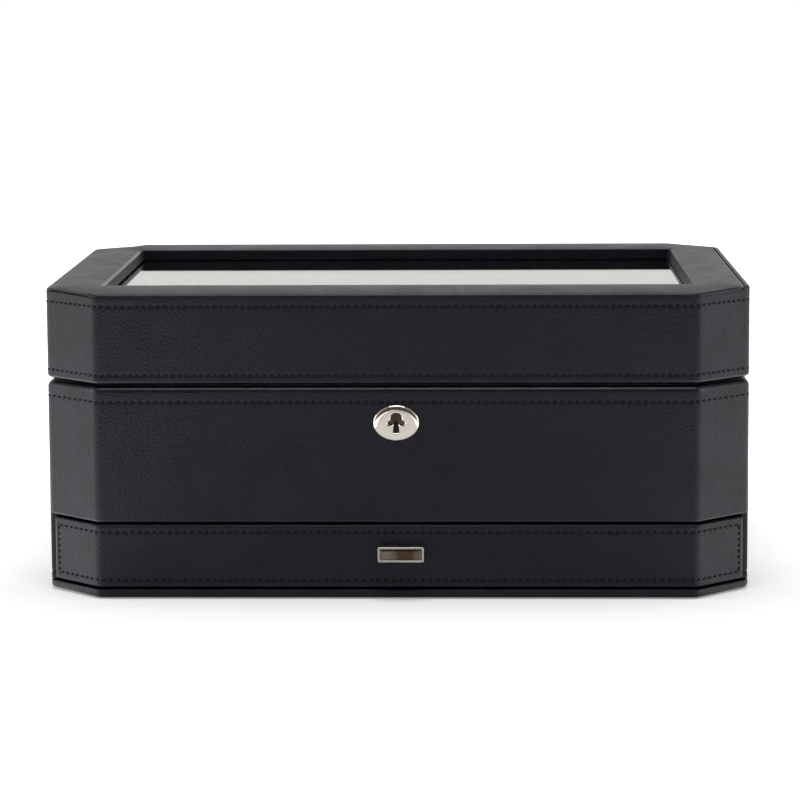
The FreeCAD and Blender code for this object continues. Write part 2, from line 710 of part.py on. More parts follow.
def lock():
    slots = [prong_slot(x, PRONG_ROOM, Z_RIM, Z_RIM + PLATE) for x in (-PRONG_X, PRONG_X)]
    holes = screw_set(Z_RIM, -1, SCREW_FIT)
    return {
        "lock_case": lock_case(),
        "lock_bolt": lock_bolt(),
        "lock_faceplate": lock_plate(Z_RIM, Z_RIM + PLATE).cut(slots + holes),
        "lock_screws": Part.makeCompound([case_screw(p, 0) for p in case_screw_places()]),
        "link_plate": link_plate(),
        "escutcheon": escutcheon(),
    }


# Drawer
def pull_screw(x, fit):
    """Screw from inside the drawer front: sunk head, shank into the back of the pull."""
    z = Z_PULL
    head_face = FRONT_INSIDE - PULL_HEAD_HEIGHT
    tip = FRONT_FACE - PULL_SCREW_GRIP
    head = rod(PULL_HEAD_RADIUS + fit, (x, head_face, z), (x, FRONT_INSIDE, z))
    shank = rod(PULL_SCREW_RADIUS + fit, (x, tip, z), (x, head_face, z))
    return joined([head, shank])


def drawer_pull(holes):
    z = Z_PULL
    half_x = PULL_WIDTH / 2
    half_z = PULL_HEIGHT / 2
    face = FRONT_FACE - PULL_DEPTH
    bar = box(PULL_ASIDE - half_x, PULL_ASIDE + half_x, face, FRONT_FACE, z - half_z, z + half_z)
    edges = [e for e in bar.Edges if all(v.Y < FRONT_FACE - TINY for v in e.Vertexes)]
    bar = bar.makeChamfer(PULL_BEVEL, edges)
    in_x = half_x - PULL_BEVEL - PULL_RIM
    in_z = half_z - PULL_BEVEL - PULL_RIM
    dish = box(PULL_ASIDE - in_x, PULL_ASIDE + in_x, face, face + PULL_DISH, z - in_z, z + in_z)
    return bar.cut([dish] + holes)


def drawer_rear(out_x):
    """Back of the drawer, just clear of the rear corner posts."""
    x, y, cut_x, cut_y = cut_corners(SHELL)
    return y - cut_y * max(0, 1 - (x - out_x) / cut_x) - DRAWER_REAR_ROOM


def drawer():
    edge = SIDE_EDGE + DRAWER_END_GAP
    board_edge = edge + LEATHER
    board_foot = Z_DRAWER + LEATHER
    board_top = Z_DRAWER_TOP - LEATHER
    spots = (PULL_ASIDE - PULL_SCREW_SPACING / 2, PULL_ASIDE + PULL_SCREW_SPACING / 2)
    holes = [pull_screw(x, SCREW_FIT) for x in spots]
    bay = front_bay(board_edge, board_foot, board_top)
    boards = [ring_board(s, LEATHER, WALL, board_foot, board_top).common(bay) for s in FRONT_SIDES]
    skin = rounded_plan(Z_DRAWER, Z_DRAWER_TOP, EDGE_ROUND, EDGE_ROUND)
    skin = skin.common(front_bay(edge, Z_DRAWER, Z_DRAWER_TOP))
    skin = skin.cut([prism(octagon(SHELL), Z_DRAWER, Z_DRAWER_TOP)] + boards + holes)

    run = Z_PLINTH + DRAWER_RUN
    out_x = SIDE_INSIDE - GUIDE_WIDTH - DRAWER_ROOM
    in_x = out_x - DRAWER_SIDE
    rear = drawer_rear(out_x)
    rear_inside = rear - DRAWER_BACK
    side_top = Z_FLOOR - DRAWER_SIDE_DROP
    bottom_foot = run + DRAWER_BOTTOM_RISE
    bottom_top = bottom_foot + DRAWER_BOTTOM
    plan = prism(octagon(SHELL), run, Z_FLOOR)
    side = box(in_x, out_x, FRONT_INSIDE, rear, run, side_top).common(plan)
    tray = box(-in_x, in_x, FRONT_INSIDE, rear_inside, bottom_top, side_top - DRAWER_LINING_DROP).common(plan)
    hollow = box(LINING - in_x, in_x - LINING, FRONT_INSIDE, rear_inside - LINING,
                 bottom_top + LINING, side_top)
    hollow = hollow.common(prism(octagon(SHELL + LINING), run, Z_FLOOR))
    return {
        "drawer_front": Part.makeCompound([b.cut(holes) for b in boards]),
        "drawer_front_leather": skin,
        "drawer_sides": Part.makeCompound([side, mirrored(side)]),
        "drawer_back": box(-in_x, in_x, rear_inside, rear, run, Z_FLOOR - DRAWER_BACK_DROP),
        "drawer_bottom": box(-in_x, in_x, FRONT_INSIDE, rear_inside, bottom_foot, bottom_top).common(plan),
        "drawer_lining": tray.cut(hollow),
        "drawer_pull": drawer_pull(holes),
        "pull_screws": Part.makeCompound([pull_screw(x, 0) for x in spots]),
    }


def drawer_bay():
    """Guides on the side walls and the stop that hangs from the compartment floor."""
    cut_y = cut_corners(SHELL)[3]
    start = FRONT_INSIDE + cut_y + GUIDE_FRONT_ROOM
    guide = box(SIDE_INSIDE - GUIDE_WIDTH, SIDE_INSIDE, start, BACK_INSIDE - cut_y,
                Z_PLINTH, Z_PLINTH + GUIDE_HEIGHT)
    stop_y = FRONT_INSIDE + STOP_SETBACK
    stop_foot = Z_FLOOR - DRAWER_SIDE_DROP + STOP_ROOM
    stop = box(-STOP_WIDTH / 2, STOP_WIDTH / 2, stop_y, stop_y + STOP_DEPTH, stop_foot, Z_FLOOR)
    return {"drawer_guides": Part.makeCompound([guide, mirrored(guide)]), "drawer_stop": stop}


def main():
    os.makedirs("parts", exist_ok=True)
    makers = [plinth, carcass, compartment, dividers, cushions, lid, hinges, lock, drawer, drawer_bay]
    for maker in makers:
        for name, shape in maker().items():
            shape.exportStep("parts/%s.step" % name)
            print(name, len(shape.Solids), round(shape.Volume, 1), shape.isValid())


main()
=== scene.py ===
import math

import bpy
import numpy as np
from bpy.props import FloatProperty, FloatVectorProperty, PointerProperty
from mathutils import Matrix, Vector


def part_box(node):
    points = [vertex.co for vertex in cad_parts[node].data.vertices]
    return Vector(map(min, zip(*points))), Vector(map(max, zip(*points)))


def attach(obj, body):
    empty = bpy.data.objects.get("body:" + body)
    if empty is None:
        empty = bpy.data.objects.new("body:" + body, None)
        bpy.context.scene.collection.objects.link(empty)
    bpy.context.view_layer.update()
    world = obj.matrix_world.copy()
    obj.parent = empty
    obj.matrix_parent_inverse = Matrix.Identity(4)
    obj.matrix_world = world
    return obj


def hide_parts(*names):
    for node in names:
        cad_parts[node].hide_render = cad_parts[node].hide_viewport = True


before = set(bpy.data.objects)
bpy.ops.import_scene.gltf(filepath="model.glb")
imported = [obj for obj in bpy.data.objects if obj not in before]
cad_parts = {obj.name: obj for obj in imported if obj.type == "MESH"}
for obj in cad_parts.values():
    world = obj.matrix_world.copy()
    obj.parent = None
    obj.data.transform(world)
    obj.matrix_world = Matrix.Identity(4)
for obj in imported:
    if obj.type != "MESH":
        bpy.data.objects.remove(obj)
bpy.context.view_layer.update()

bl_info = {
    "name": "Watch box",
    "version": (1, 0, 0),
    "blender": (4, 5, 0),
    "location": "3D View > Sidebar > Watch box",
    "description": "Dresses the watch box in stitched leather, suede, glass and nickel",
    "category": "Object",
}

MM = 0.001


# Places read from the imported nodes
def node_box(node):
    """Lowest and highest corner of a node, as two rows."""
    return np.array(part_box(node))


LID_LOW, LID_HIGH = node_box("lid_band_leather")
DRAWER_LOW, DRAWER_HIGH = node_box("drawer_front_leather")
PLINTH_LOW, PLINTH_HIGH = node_box("base_leather")
PULL_LOW, PULL_HIGH = node_box("drawer_pull")
PULL_MIDDLE = (PULL_LOW + PULL_HIGH) / 2
OVAL_LOW, OVAL_HIGH = node_box("escutcheon")
GLASS_HIGH = node_box("glass_pane")[1]
HALF_X, HALF_Y, BODY_TOP = node_box("body_leather")[1]
PANEL_TOP = node_box("lid_top_leather")[1, 2]
FRONT = -HALF_Y

# Leather sizes that the nodes' boxes don't give
CUT_X = 25.5 * MM
CUT_Y = 21.5 * MM
FRONT_ROUND = 5.0 * MM
SIDE_ROUND = 5.5 * MM
ROUNDS = np.array([FRONT_ROUND, FRONT_ROUND, SIDE_ROUND, SIDE_ROUND] * 2)
SKIN = 1.2 * MM
SHELL = node_box("front_wall")[1, 1] + HALF_Y
BODY_FOOT = node_box("compartment_floor")[0, 2] - SKIN
GLASS_BED = 6.0 * MM
WINDOW_X = GLASS_HIGH[0] - GLASS_BED
SIDE_EDGE = 3.1 * MM

# Heights of the stitched rows
LID_ROWS = (LID_HIGH[2] - 6.4 * MM, LID_LOW[2] + 3.3 * MM)
BODY_ROW = BODY_TOP - 7.0 * MM
SKIRT_ROW = PLINTH_HIGH[2] + 4.2 * MM
# The stitched border's distance from the drawer's long edges and from its ends
BORDER = 3.6 * MM
END_BORDER = 2.6 * MM
# How deep the middle of a thread lies
SUNK = 0.20 * MM
SKIRT_SUNK = 0.12 * MM
# Where the leather is sampled across a row, how far from the row a stitch draws it in, and the
# samples along one stitch
ROW_OFFSETS = np.array([1.9, 1.1, 0.65, 0.32, 0.0, -0.32, -0.65, -1.1, -1.9]) * MM
BORDER_OFFSETS = np.array([-1.3, -0.65, -0.32, 0.0, 0.32, 0.65, 1.3, 2.2]) * MM
DRAW_WIDTH = 0.7 * MM
STITCH_STEPS = 4

# How far below the top the lid's band ends where the panel laps over it and where a seam shows
LAP = 1.8 * MM
SEAM = 1.4 * MM
# How far the lid's panel droops along the front and is crowned, and how far its band hangs
DROOP = 0.8 * MM
CROWN = 0.65 * MM
HANG = 0.6 * MM
# How far the body's rim rises along the front, and the drawer's upper edge all along
RIM_LIFT = 0.3 * MM
DRAWER_LIFT = 0.25 * MM

# Width of the pull's rim, and how far its face stands out of the drawer
PULL_RIM = 1.0 * MM
PULL_DEPTH = 5.0 * MM

# The least radius or gap, the least divisor, and the angle from which an edge is sharp
THIN = 0.03 * MM
TINY = 1e-6
SHARP = math.radians(55)

# Each metal's colour, its least and most roughness, how finely it is scuffed along x, y and z, and
# how strongly that shows
METALS = {
    "Polished nickel": ("nickel", 0.05, 0.12, (900.0, 900.0, 900.0), 0.03),
    "Screw steel": ("nickel", 0.2, 0.34, (500.0, 1500.0, 1500.0), 0.03),
    # Dark plate: near-black, partly a blackened finish and partly painted shade in the gap between
    # lid and body.
    "Dark plate": ("dark", 0.5, 0.7, (200.0, 1800.0, 1800.0), 0.03),
    "Lock brass": ("brass", 0.22, 0.38, (300.0, 1500.0, 1500.0), 0.03),
    "Satin nickel": ("satin", 0.26, 0.32, (300.0, 900.0, 900.0), 0.005),
    # Drum face: its dark brown is painted shade and reflection for the inside of the keyhole.
    "Drum face": ("drum", 0.25, 0.4, (1500.0, 1500.0, 1500.0), 0.1),
}

# The camera's place in metres, its turn in degrees and its lens shift
CAMERA_PLACE = (0.03507, -1.34190, 0.29858)
CAMERA_TURN = (84.1009, 0.3365, 1.5281)
CAMERA_SHIFT = (0.0026, -0.2069)
# Each lamp's name, size, place and the point that it faces
LAMPS = (
    ("overhead", 0.9, (0.0, -0.25, 1.45), (0.0, -0.05, 0.05)),
    ("left", 0.8, (-1.15, -0.12, 0.20), (0.0, 0.0, 0.08)),
    ("right", 0.8, (1.15, -0.12, 0.20), (0.0, 0.0, 0.08)),
)
FLOOR_REACH = 6.0
WHITE = (1.0, 1.0, 1.0, 1.0)
WARM_WHITE = (1.0, 0.985, 0.955, 1.0)
UNLIT_TINT = (1.0, 0.84, 0.66, 1.0)


# Sizes and colours
def tint(name, description, default):
    return FloatVectorProperty(name=name, description=description, default=default,
                               subtype="COLOR", size=3, min=0, max=1)


def span(name, description, default):
    return FloatProperty(name=name, description=description, default=default, unit="LENGTH")


def factor(name, description, default):
    return FloatProperty(name=name, description=description, default=default,
                         subtype="FACTOR", min=0, max=1)


def brightness(name, description, default):
    return FloatProperty(name=name, description=description, default=default, min=0)


def watts(name, description, default):
    return FloatProperty(name=name, description=description, default=default, unit="POWER")


class WatchBoxLeather(bpy.types.PropertyGroup):
    """Leather, its grain and its stitching"""

    colour: tint("Leather", "Colour of the leather", (0.0045, 0.0035, 0.0115))
    thread: tint("Thread", "Colour of the stitching thread", (0.0022, 0.0020, 0.0050))
    gloss: factor("Roughness", "Mean roughness of the leather", 0.38)
    grain: span("Grain", "Width of one pebble of the grain", 1.15 * MM)
    grain_depth: span("Grain depth", "Height of the pebbles", 0.22 * MM)
    pitch: span("Stitch pitch", "Distance from one stitch to the next", 3.5 * MM)
    lid_pitch: span(
        "Lid's stitch pitch", "Distance from one stitch to the next on the lid", 3.27 * MM)
    stitch: span("Stitch length", "Length of thread that shows", 1.65 * MM)
    thread_width: span("Thread width", "Thickness of the thread", 1.0 * MM)
    pull_in: span("Stitch depth", "How far a stitch draws the leather in", 0.5 * MM)
    hem: span("Edge round", "Radius of the turned edges", 1.3 * MM)
    rim: span("Rim round", "Radius of the body's upper edge", 3.0 * MM)
    drawer_edge: span("Drawer edge", "Radius of the drawer front's edges", 1.5 * MM)


class WatchBoxLining(bpy.types.PropertyGroup):
    """Suede inside the box and the watch cushions"""

    # The lining's near-black is dark suede made darker still as painted shade, so that its edges in
    # the gap between lid and body read as shade.
    colour: tint("Suede", "Colour of the lining", (0.013, 0.0125, 0.0135))
    cushion: tint("Cushions", "Colour of the watch cushions", (0.060, 0.057, 0.060))
    edge: span("Board edge", "Radius of the covered boards' edges", 1.2 * MM)
    swell: span("Swell", "Most that a cushion's filling may push its cover out", 3.0 * MM)


class WatchBoxMetal(bpy.types.PropertyGroup):
    """Escutcheon, pull, hinges and lock"""

    nickel: tint("Nickel", "Colour of the polished nickel", (0.71, 0.67, 0.61))
    satin: tint("Pull rim", "Colour of the pull's satin rim", (0.42, 0.40, 0.385))
    # Pull face: its dark brown and the paler colour on both of its ends are painted reflection.
    inlay: tint("Pull face", "Colour of the brushed face of the pull", (0.075, 0.050, 0.035))
    painted_pale_reflection: tint("Pull face, worn", "Colour of the pull's face where fingers have rubbed it",
               (0.165, 0.145, 0.118))
    # The lock drum's dark brown is painted shade and reflection for the inside of the keyhole.
    drum: tint("Lock drum", "Colour of the lock's face behind the keyhole", (0.065, 0.042, 0.032))
    # The plates' near-black is partly a blackened finish and partly painted shade: they sit in the
    # gap between lid and body.
    dark: tint("Lock plates", "Colour of the blackened plates", (0.012, 0.012, 0.013))
    brass: tint("Brass", "Colour of the lock's brass", (0.58, 0.40, 0.15))


class WatchBoxStage(bpy.types.PropertyGroup):
    """Camera, floor and light"""

    lens: FloatProperty(name="Lens", description="Focal length", unit="CAMERA", default=121.92)
    floor: tint("Floor", "Colour of the floor", (0.84, 0.84, 0.84))
    ambient: brightness("Room", "Brightness of the white room", 0.50)
    shade: factor(
        "Dark front", "Brightness of the unlit part of the room behind the camera", 0.08)
    ceiling: factor("Ceiling", "Brightness of the room overhead in reflections", 0.35)
    overhead: watts("Overhead", "Power of the lamp above", 13.0)
    left: watts("Left", "Power of the left lamp", 4.8)
    right: watts("Right", "Power of the right lamp", 3.8)
    left_card: brightness(
        "Left card", "Brightness of the floor on the left in reflections", 1.6)
    right_card: brightness(
        "Right card", "Brightness of the floor on the right in reflections", 1.05)


# Meshes
def grid_quads(laps, count, closed=False):
    """Faces between laps of points, numbered lap by lap: each lap meets the next, and in a closed
    grid the last meets the first."""
    lap = np.arange(laps if closed else laps - 1)[:, None] * count
    after = (lap + count) % (laps * count)
    here = np.arange(count)[None, :]
    beside = (here + 1) % count
    return np.stack([lap + here, lap + beside, after + beside, after + here], -1).reshape(-1, 4)


def outward(points, faces):
    """The faces, all turned over if the volume that they enclose comes out negative."""
    total = 0.0
    for face in faces:
        corners = points[face]
        fan = np.cross(corners[:, 1:-1], corners[:, 2:])
        total += np.einsum("nk,nik->", corners[:, 0], fan)
    return [face[:, ::-1] for face in faces] if total < 0 else faces


def capped(points, laps):
    """Faces of laps one above the other, with a flat face at each end."""
    count = len(points) // laps
    ends = [np.arange(count)[None, ::-1], np.arange(len(points) - count, len(points))[None]]
    return outward(points, [grid_quads(laps, count)] + ends)


def merged(solids):
    """Several (points, faces) solids as one."""
    points, faces, start = [], [], 0
    for part, part_faces in solids:
        points.append(part)
        faces += [face + start for face in part_faces]
        start += len(part)
    return np.concatenate(points), faces


def mesh_points(mesh):
    flat = np.empty(len(mesh.vertices) * 3, np.float32)
    mesh.vertices.foreach_get("co", flat)
    return flat.reshape(-1, 3).astype(float)


def move_points(mesh, points):
    mesh.vertices.foreach_set("co", points.astype(np.float32).ravel())


def make_piece(name, solid, body, slot, material, nodes=()):
    """Puts points and faces into a mesh, smooth except where faces meet at a sharp angle."""
    points, faces, *fold = solid
    loops = np.concatenate([face.ravel() for face in faces]).astype(np.int32)
    counts = np.repeat([face.shape[1] for face in faces], [len(face) for face in faces])
    starts = np.concatenate([[0], np.cumsum(counts)[:-1]]).astype(np.int32)
    mesh = bpy.data.meshes.new(name)
    mesh.vertices.add(len(points))
    move_points(mesh, points)
    mesh.loops.add(len(loops))
    mesh.loops.foreach_set("vertex_index", loops)
    mesh.polygons.add(len(counts))
    mesh.polygons.foreach_set("loop_start", starts)
    mesh.polygons.foreach_set("use_smooth", np.ones(len(counts), bool))
    mesh.update(calc_edges=True)
    if mesh.validate():
        raise RuntimeError(name + ": the surface has bad faces")
    mesh.set_sharp_from_angle(angle=SHARP)
    if fold:
        values = mesh.attributes.new("fold", "FLOAT", "POINT").data
        values.foreach_set("value", fold[0].astype(np.float32))
    return place_piece(name, mesh, body, slot, material, nodes)


def place_piece(name, mesh, body, slot, material, nodes):
    """Gives a finished mesh its object, its body, its finish and the nodes that it stands for."""
    piece = bpy.data.objects.new(name, mesh)
    bpy.context.scene.collection.objects.link(piece)
    mesh.materials.clear()
    mesh.materials.append(material)
    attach(piece, body)
    if nodes:
        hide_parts(*nodes)
    return piece


def finish_nodes(material, *nodes):
    """Gives carried-over nodes their material."""
    for node in nodes:
        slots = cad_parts[node].data.materials
        slots.clear()
        slots.append(material)


# Outlines: a polygon with rounded corners, sampled the same way at every inset
def octagon(x, y):
    """Corners of the eight-sided plan, anticlockwise from the front's left end."""
    return np.array([(CUT_X - x, -y), (x - CUT_X, -y), (x, CUT_Y - y), (x, y - CUT_Y),
                     (x - CUT_X, y), (CUT_X - x, y), (-x, y - CUT_Y), (-x, CUT_Y - y)])


def rectangle(x, y):
    return np.array([(-x, -y), (x, -y), (x, y), (-x, y)])


class Outline:
    """A closed line round a polygon. Side k runs from corner k; a sample is a share of a straight
    side or of the arc at a corner. Its phase is whole at needle holes and a half at stitches."""

    def __init__(self, corners, radius, counts, steps=1, arc_steps=8):
        run = np.roll(corners, -1, 0) - corners
        self.corners = corners
        self.length = np.hypot(run[:, 0], run[:, 1])
        self.along = run / self.length[:, None]
        self.normal = np.stack([self.along[:, 1], -self.along[:, 0]], 1)
        self.heading = np.arctan2(self.normal[:, 1], self.normal[:, 0])
        self.turn = (self.heading - np.roll(self.heading, 1) + np.pi) % (2 * np.pi) - np.pi
        self.radius = np.broadcast_to(np.asarray(radius, float), self.length.shape)
        bend = np.arange(1, arc_steps) / arc_steps
        side, share, arc, phase = [], [], [], []
        for k, count in enumerate(counts):
            line = np.arange(count * steps + 1)
            side += [np.full(line.size, k), np.full(bend.size, (k + 1) % len(corners))]
            share += [line / (count * steps), bend]
            arc += [np.zeros(line.size, bool), np.ones(bend.size, bool)]
            phase += [line / steps, bend]
        self.side, self.share = np.concatenate(side), np.concatenate(share)
        self.arc, self.phase = np.concatenate(arc), np.concatenate(phase)

    def at(self, inset):
        """Points and outward normals with every side moved in by inset: straight samples slide
        along their side, arcs keep their middle until the corner's radius is used up."""
        k = self.side
        after = (k + 1) % len(self.corners)
        sign = np.sign(self.turn)
        radius = np.maximum(self.radius - sign * inset, THIN)
        reach = inset * np.tan(self.turn / 2) + radius * np.tan(np.abs(self.turn) / 2)
        run = reach[k] + self.share * (self.length[k] - reach[k] - reach[after])
        straight = self.corners[k] + self.along[k] * run[:, None] - self.normal[k] * inset
        angle = self.heading[k] - self.turn[k] * (1 - self.share)
        round_normal = np.stack([np.cos(angle), np.sin(angle)], 1)
        middle = (self.corners[k] + self.along[k] * reach[k, None]
                  - self.normal[k] * (inset + sign * radius)[k, None])
        bent = middle + (sign * radius)[k, None] * round_normal
        is_arc = self.arc[:, None]
        return np.where(is_arc, bent, straight), np.where(is_arc, round_normal, self.normal[k])

    def ring(self, inset, level, dent=0.0):
        """One lap at a height, or at a height for each sample, each moved in by its dent."""
        plan, normal = self.at(inset)
        plan = plan - normal * np.broadcast_to(dent, self.side.shape)[:, None]
        return np.concatenate([plan, np.broadcast_to(level, self.side.shape)[:, None]], 1)

    def past(self, axis, start, run):
        """0 up to a place on an axis and 1 from a run beyond it, with a smooth change between."""
        share = np.clip((self.at(0)[0][:, axis] - start) / run, 0, 1)
        return share * share * (3 - 2 * share)

    def pull(self, depth):
        """How far each sample is drawn in: deepest under a thread, not at all between two."""
        return depth * (0.5 - 0.5 * np.cos(2 * np.pi * self.phase))

    def stitches(self):
        """Which samples lie in the middle of a stitch."""
        return np.abs(self.phase % 1 - 0.5) < 0.01


def stitched_outline(corners, radius, pitch, steps=STITCH_STEPS, arc_steps=8):
    """An outline with whole stitches on the straight part of every side."""
    bare = Outline(corners, radius, np.ones(len(corners), int))
    reach = bare.radius * np.tan(np.abs(bare.turn) / 2)
    counts = np.rint((bare.length - reach - np.roll(reach, -1)) / pitch)
    return Outline(corners, radius, np.maximum(1, counts).astype(int), steps, arc_steps)


def plan_outline(pitch, steps=STITCH_STEPS):
    """The box's plan with whole stitches on every side."""
    return stitched_outline(octagon(HALF_X, HALF_Y), ROUNDS, pitch, steps)


def quarter(middle, radius, start, end, steps=6):
    """Arc of a profile, from one angle to another in degrees: rows that count as a fold."""
    angle = np.radians(np.linspace(start, end, steps + 1))
    inset, level = middle[0] + radius * np.cos(angle), middle[1] + radius * np.sin(angle)
    return np.stack([inset, level, 0 * angle, np.sin(np.linspace(0, np.pi, steps + 1))], 1)


def profile(*parts):
    """Joins points and arcs into rows of inset, level, share of a stitch's pull and fold."""
    rows = [np.atleast_2d(np.asarray(part, float)) for part in parts]
    return np.concatenate([np.pad(row, ((0, 0), (0, 4 - row.shape[1]))) for row in rows])


def drawn_in(offset):
    """Share of a stitch's pull at a distance from the row: a bell curve."""
    return np.exp(-(offset / DRAW_WIDTH) ** 2)


def stitched_row(level):
    """Rows of a profile's outer face across a line of stitches."""
    return np.stack([0 * ROW_OFFSETS, level + ROW_OFFSETS, drawn_in(ROW_OFFSETS)], 1)


def closed_laps(rings, fold):
    """Laps joined each to the next and the last to the first, with a fold for each lap or each of
    its samples."""
    points = np.concatenate(rings)
    count = len(rings[0])
    faces = outward(points, [grid_quads(len(rings), count, True)])
    return points, faces, np.broadcast_to(fold, (len(rings), count)).ravel()


def band(outline, rows, depth=0.0):
    """A closed profile carried once round an outline."""
    pull = outline.pull(depth)
    rings = [outline.ring(inset, level, weight * pull) for inset, level, weight, _ in rows]
    return closed_laps(rings, rows[:, 3:])


def stack(outline, rows):
    """A solid of laps one above the other, closed by a flat face at each end."""
    points = np.concatenate([outline.ring(inset, level, weight * MM)
                             for inset, level, weight, _ in rows])
    return points, capped(points, len(rows)), np.repeat(rows[:, 3], len(outline.side))


def rounded_block(low, high, radius, steps=4):
    """A block with rounded edges: the sphere's formula, each eighth moved out to its corner of the
    block."""
    half = (high - low) / 2
    core = half - radius
    quarter_turn = np.linspace(0, np.pi / 2, steps + 1)
    around = np.concatenate([quarter_turn + k * np.pi / 2 for k in range(4)])
    rise = np.concatenate([quarter_turn - np.pi / 2, quarter_turn])[:, None]
    sign_x, sign_y = np.array([1, -1, -1, 1]), np.array([1, 1, -1, -1])
    sign_z = np.repeat([-1, 1], steps + 1)[:, None]
    x = np.repeat(sign_x, steps + 1) * core[0] + radius * np.cos(rise) * np.cos(around)
    y = np.repeat(sign_y, steps + 1) * core[1] + radius * np.cos(rise) * np.sin(around)
    z = sign_z * core[2] + radius * np.sin(rise) + 0 * x
    grid = np.stack([x, y, z], -1)[1:-1]
    foot = np.stack([sign_x * core[0], sign_y * core[1], np.full(4, -half[2])], 1)
    rows, columns = grid.shape[:2]
    points = np.concatenate([grid.reshape(-1, 3), foot, foot * [1, 1, -1]]) + (low + high) / 2
    faces = [grid_quads(rows, columns)]
    column = np.arange(columns)
    corner = column // (steps + 1)
    last = (column + 1) % (steps + 1) == 0
    same, across = column[~last], column[last]
    for cap, first in ((rows * columns, 0), (rows * columns + 4, (rows - 1) * columns)):
        faces.append(np.stack([cap + corner[same], first + same, first + same + 1], 1))
        faces.append(np.stack([cap + corner[across], first + across,
                               first + (across + 1) % columns,
                               cap + (corner[across] + 1) % 4], 1))
        faces.append(np.arange(cap, cap + 4)[None])
    return points, turned_alike(points, faces)


def turned_alike(points, faces):
    """Faces of a convex solid, each turned away from its middle."""
    middle = points.mean(0)
    result = []
    for face in faces:
        corners = points[face]
        normal = np.cross(corners[:, 1] - corners[:, 0], corners[:, -1] - corners[:, 0])
        inwards = np.einsum("ij,ij->i", normal, corners.mean(1) - middle) < 0
        result.append(np.where(inwards[:, None], face[:, ::-1], face))
    return result


def threads(centre, along, normal, look):
    """Stitches as short tubes that rise out of one needle hole and dip into the next: six points
    round each of five rings, the radius swelling and the height rising in a half wave from end to
    end."""
    share = np.array([-1.0, -0.72, 0.0, 0.72, 1.0]) * look.stitch / 2
    swell = np.array([0.42, 0.86, 1.0, 0.86, 0.42]) * look.thread_width / 2
    lift = np.array([-0.62, -0.08, 0.10, -0.08, -0.62]) * look.thread_width / 2
    around = 6
    angle = np.arange(around) * 2 * np.pi / around
    side = np.cross(normal, along)
    ring = (np.cos(angle)[None, None, :, None] * side[:, None, None, :]
            + np.sin(angle)[None, None, :, None] * normal[:, None, None, :])
    line = (centre[:, None, :] + along[:, None, :] * share[None, :, None]
            + normal[:, None, :] * lift[None, :, None])
    points = (line[:, :, None, :] + ring * swell[None, :, None, None]).reshape(-1, 3)
    size = len(share) * around
    first = np.arange(len(centre))[:, None, None] * size
    tube = grid_quads(len(share), around)
    caps = np.stack([np.arange(around)[::-1], np.arange(size - around, size)])
    faces = [(tube[None] + first).reshape(-1, 4), (caps[None] + first).reshape(-1, around)]
    return points, outward(points, faces)


def band_threads(outline, level, sunk, look, keep=True):
    """One line of stitches round an outline: a thread at every half phase."""
    plan, normal = outline.at(sunk)
    here = outline.stitches() & keep
    plan, normal = plan[here], np.pad(normal[here], ((0, 0), (0, 1)))
    centre = np.concatenate([plan, np.full((len(plan), 1), level)], 1)
    along = np.stack([-normal[:, 1], normal[:, 0], 0 * normal[:, 0]], 1)
    return threads(centre, along, normal, look)


# Shader nodes
def feed(tree, sockets, values):
    """Gives sockets their values; a value that is another node's output is linked."""
    for key, value in values.items():
        if isinstance(value, bpy.types.NodeSocket):
            tree.links.new(value, sockets[key])
        else:
            sockets[key].default_value = value


def put(tree, kind, inputs=None, **choices):
    """Adds a node and returns its outputs."""
    node = tree.nodes.new(kind)
    for key, value in choices.items():
        setattr(node, key, value)
    feed(tree, node.inputs, inputs or {})
    return node.outputs


def mixed(tree, share, first, second):
    """Colour between two colours."""
    return put(tree, "ShaderNodeMix", {0: share, 6: first, 7: second}, data_type="RGBA")[2]


def spread(tree, value, low, high, to_low, to_high):
    """A value moved smoothly from one range to another."""
    ends = {"From Min": low, "From Max": high, "To Min": to_low, "To Max": to_high}
    return put(tree, "ShaderNodeMapRange", {"Value": value, **ends},
               interpolation_type="SMOOTHSTEP")["Result"]


def sums(tree, operation, first, second):
    return put(tree, "ShaderNodeMath", {0: first, 1: second}, operation=operation)[0]


def times(tree, first, second):
    return sums(tree, "MULTIPLY", first, second)


def vectors(tree, operation, first, second):
    return put(tree, "ShaderNodeVectorMath", {0: first, 1: second}, operation=operation)[0]


def noise(tree, vector, scale, detail, **more):
    return put(tree, "ShaderNodeTexNoise",
               {"Vector": vector, "Scale": scale, "Detail": detail, **more})


def bumped(tree, height, strength, distance):
    """Normal of a surface with that height."""
    return put(tree, "ShaderNodeBump", {"Height": height, "Strength": strength,
                                        "Distance": distance})["Normal"]


def scaled(colour, amount):
    return (*[min(1.0, part * amount) for part in colour], 1.0)


def kept(store, make, name, *given):
    """The thing of that name in one of Blender's stores, made if it isn't there yet."""
    return store.get(name) or make(name, *given)


def new_group(name, inputs, outputs):
    """An empty shader group with named sockets; returns the tree, its inputs and its outputs."""
    tree = bpy.data.node_groups.new(name, "ShaderNodeTree")
    for socket, kind in inputs.items():
        tree.interface.new_socket(name=socket, in_out="INPUT", socket_type="NodeSocket" + kind)
    for socket in outputs:
        tree.interface.new_socket(name=socket, in_out="OUTPUT", socket_type="NodeSocketFloat")
    given = tree.nodes.new("NodeGroupInput").outputs
    return tree, given, tree.nodes.new("NodeGroupOutput").inputs


def placed(tree, make, name, inputs):
    """A shader group put into a material with its own values."""
    group = kept(bpy.data.node_groups, make, name)
    return put(tree, "ShaderNodeGroup", inputs, node_tree=group)


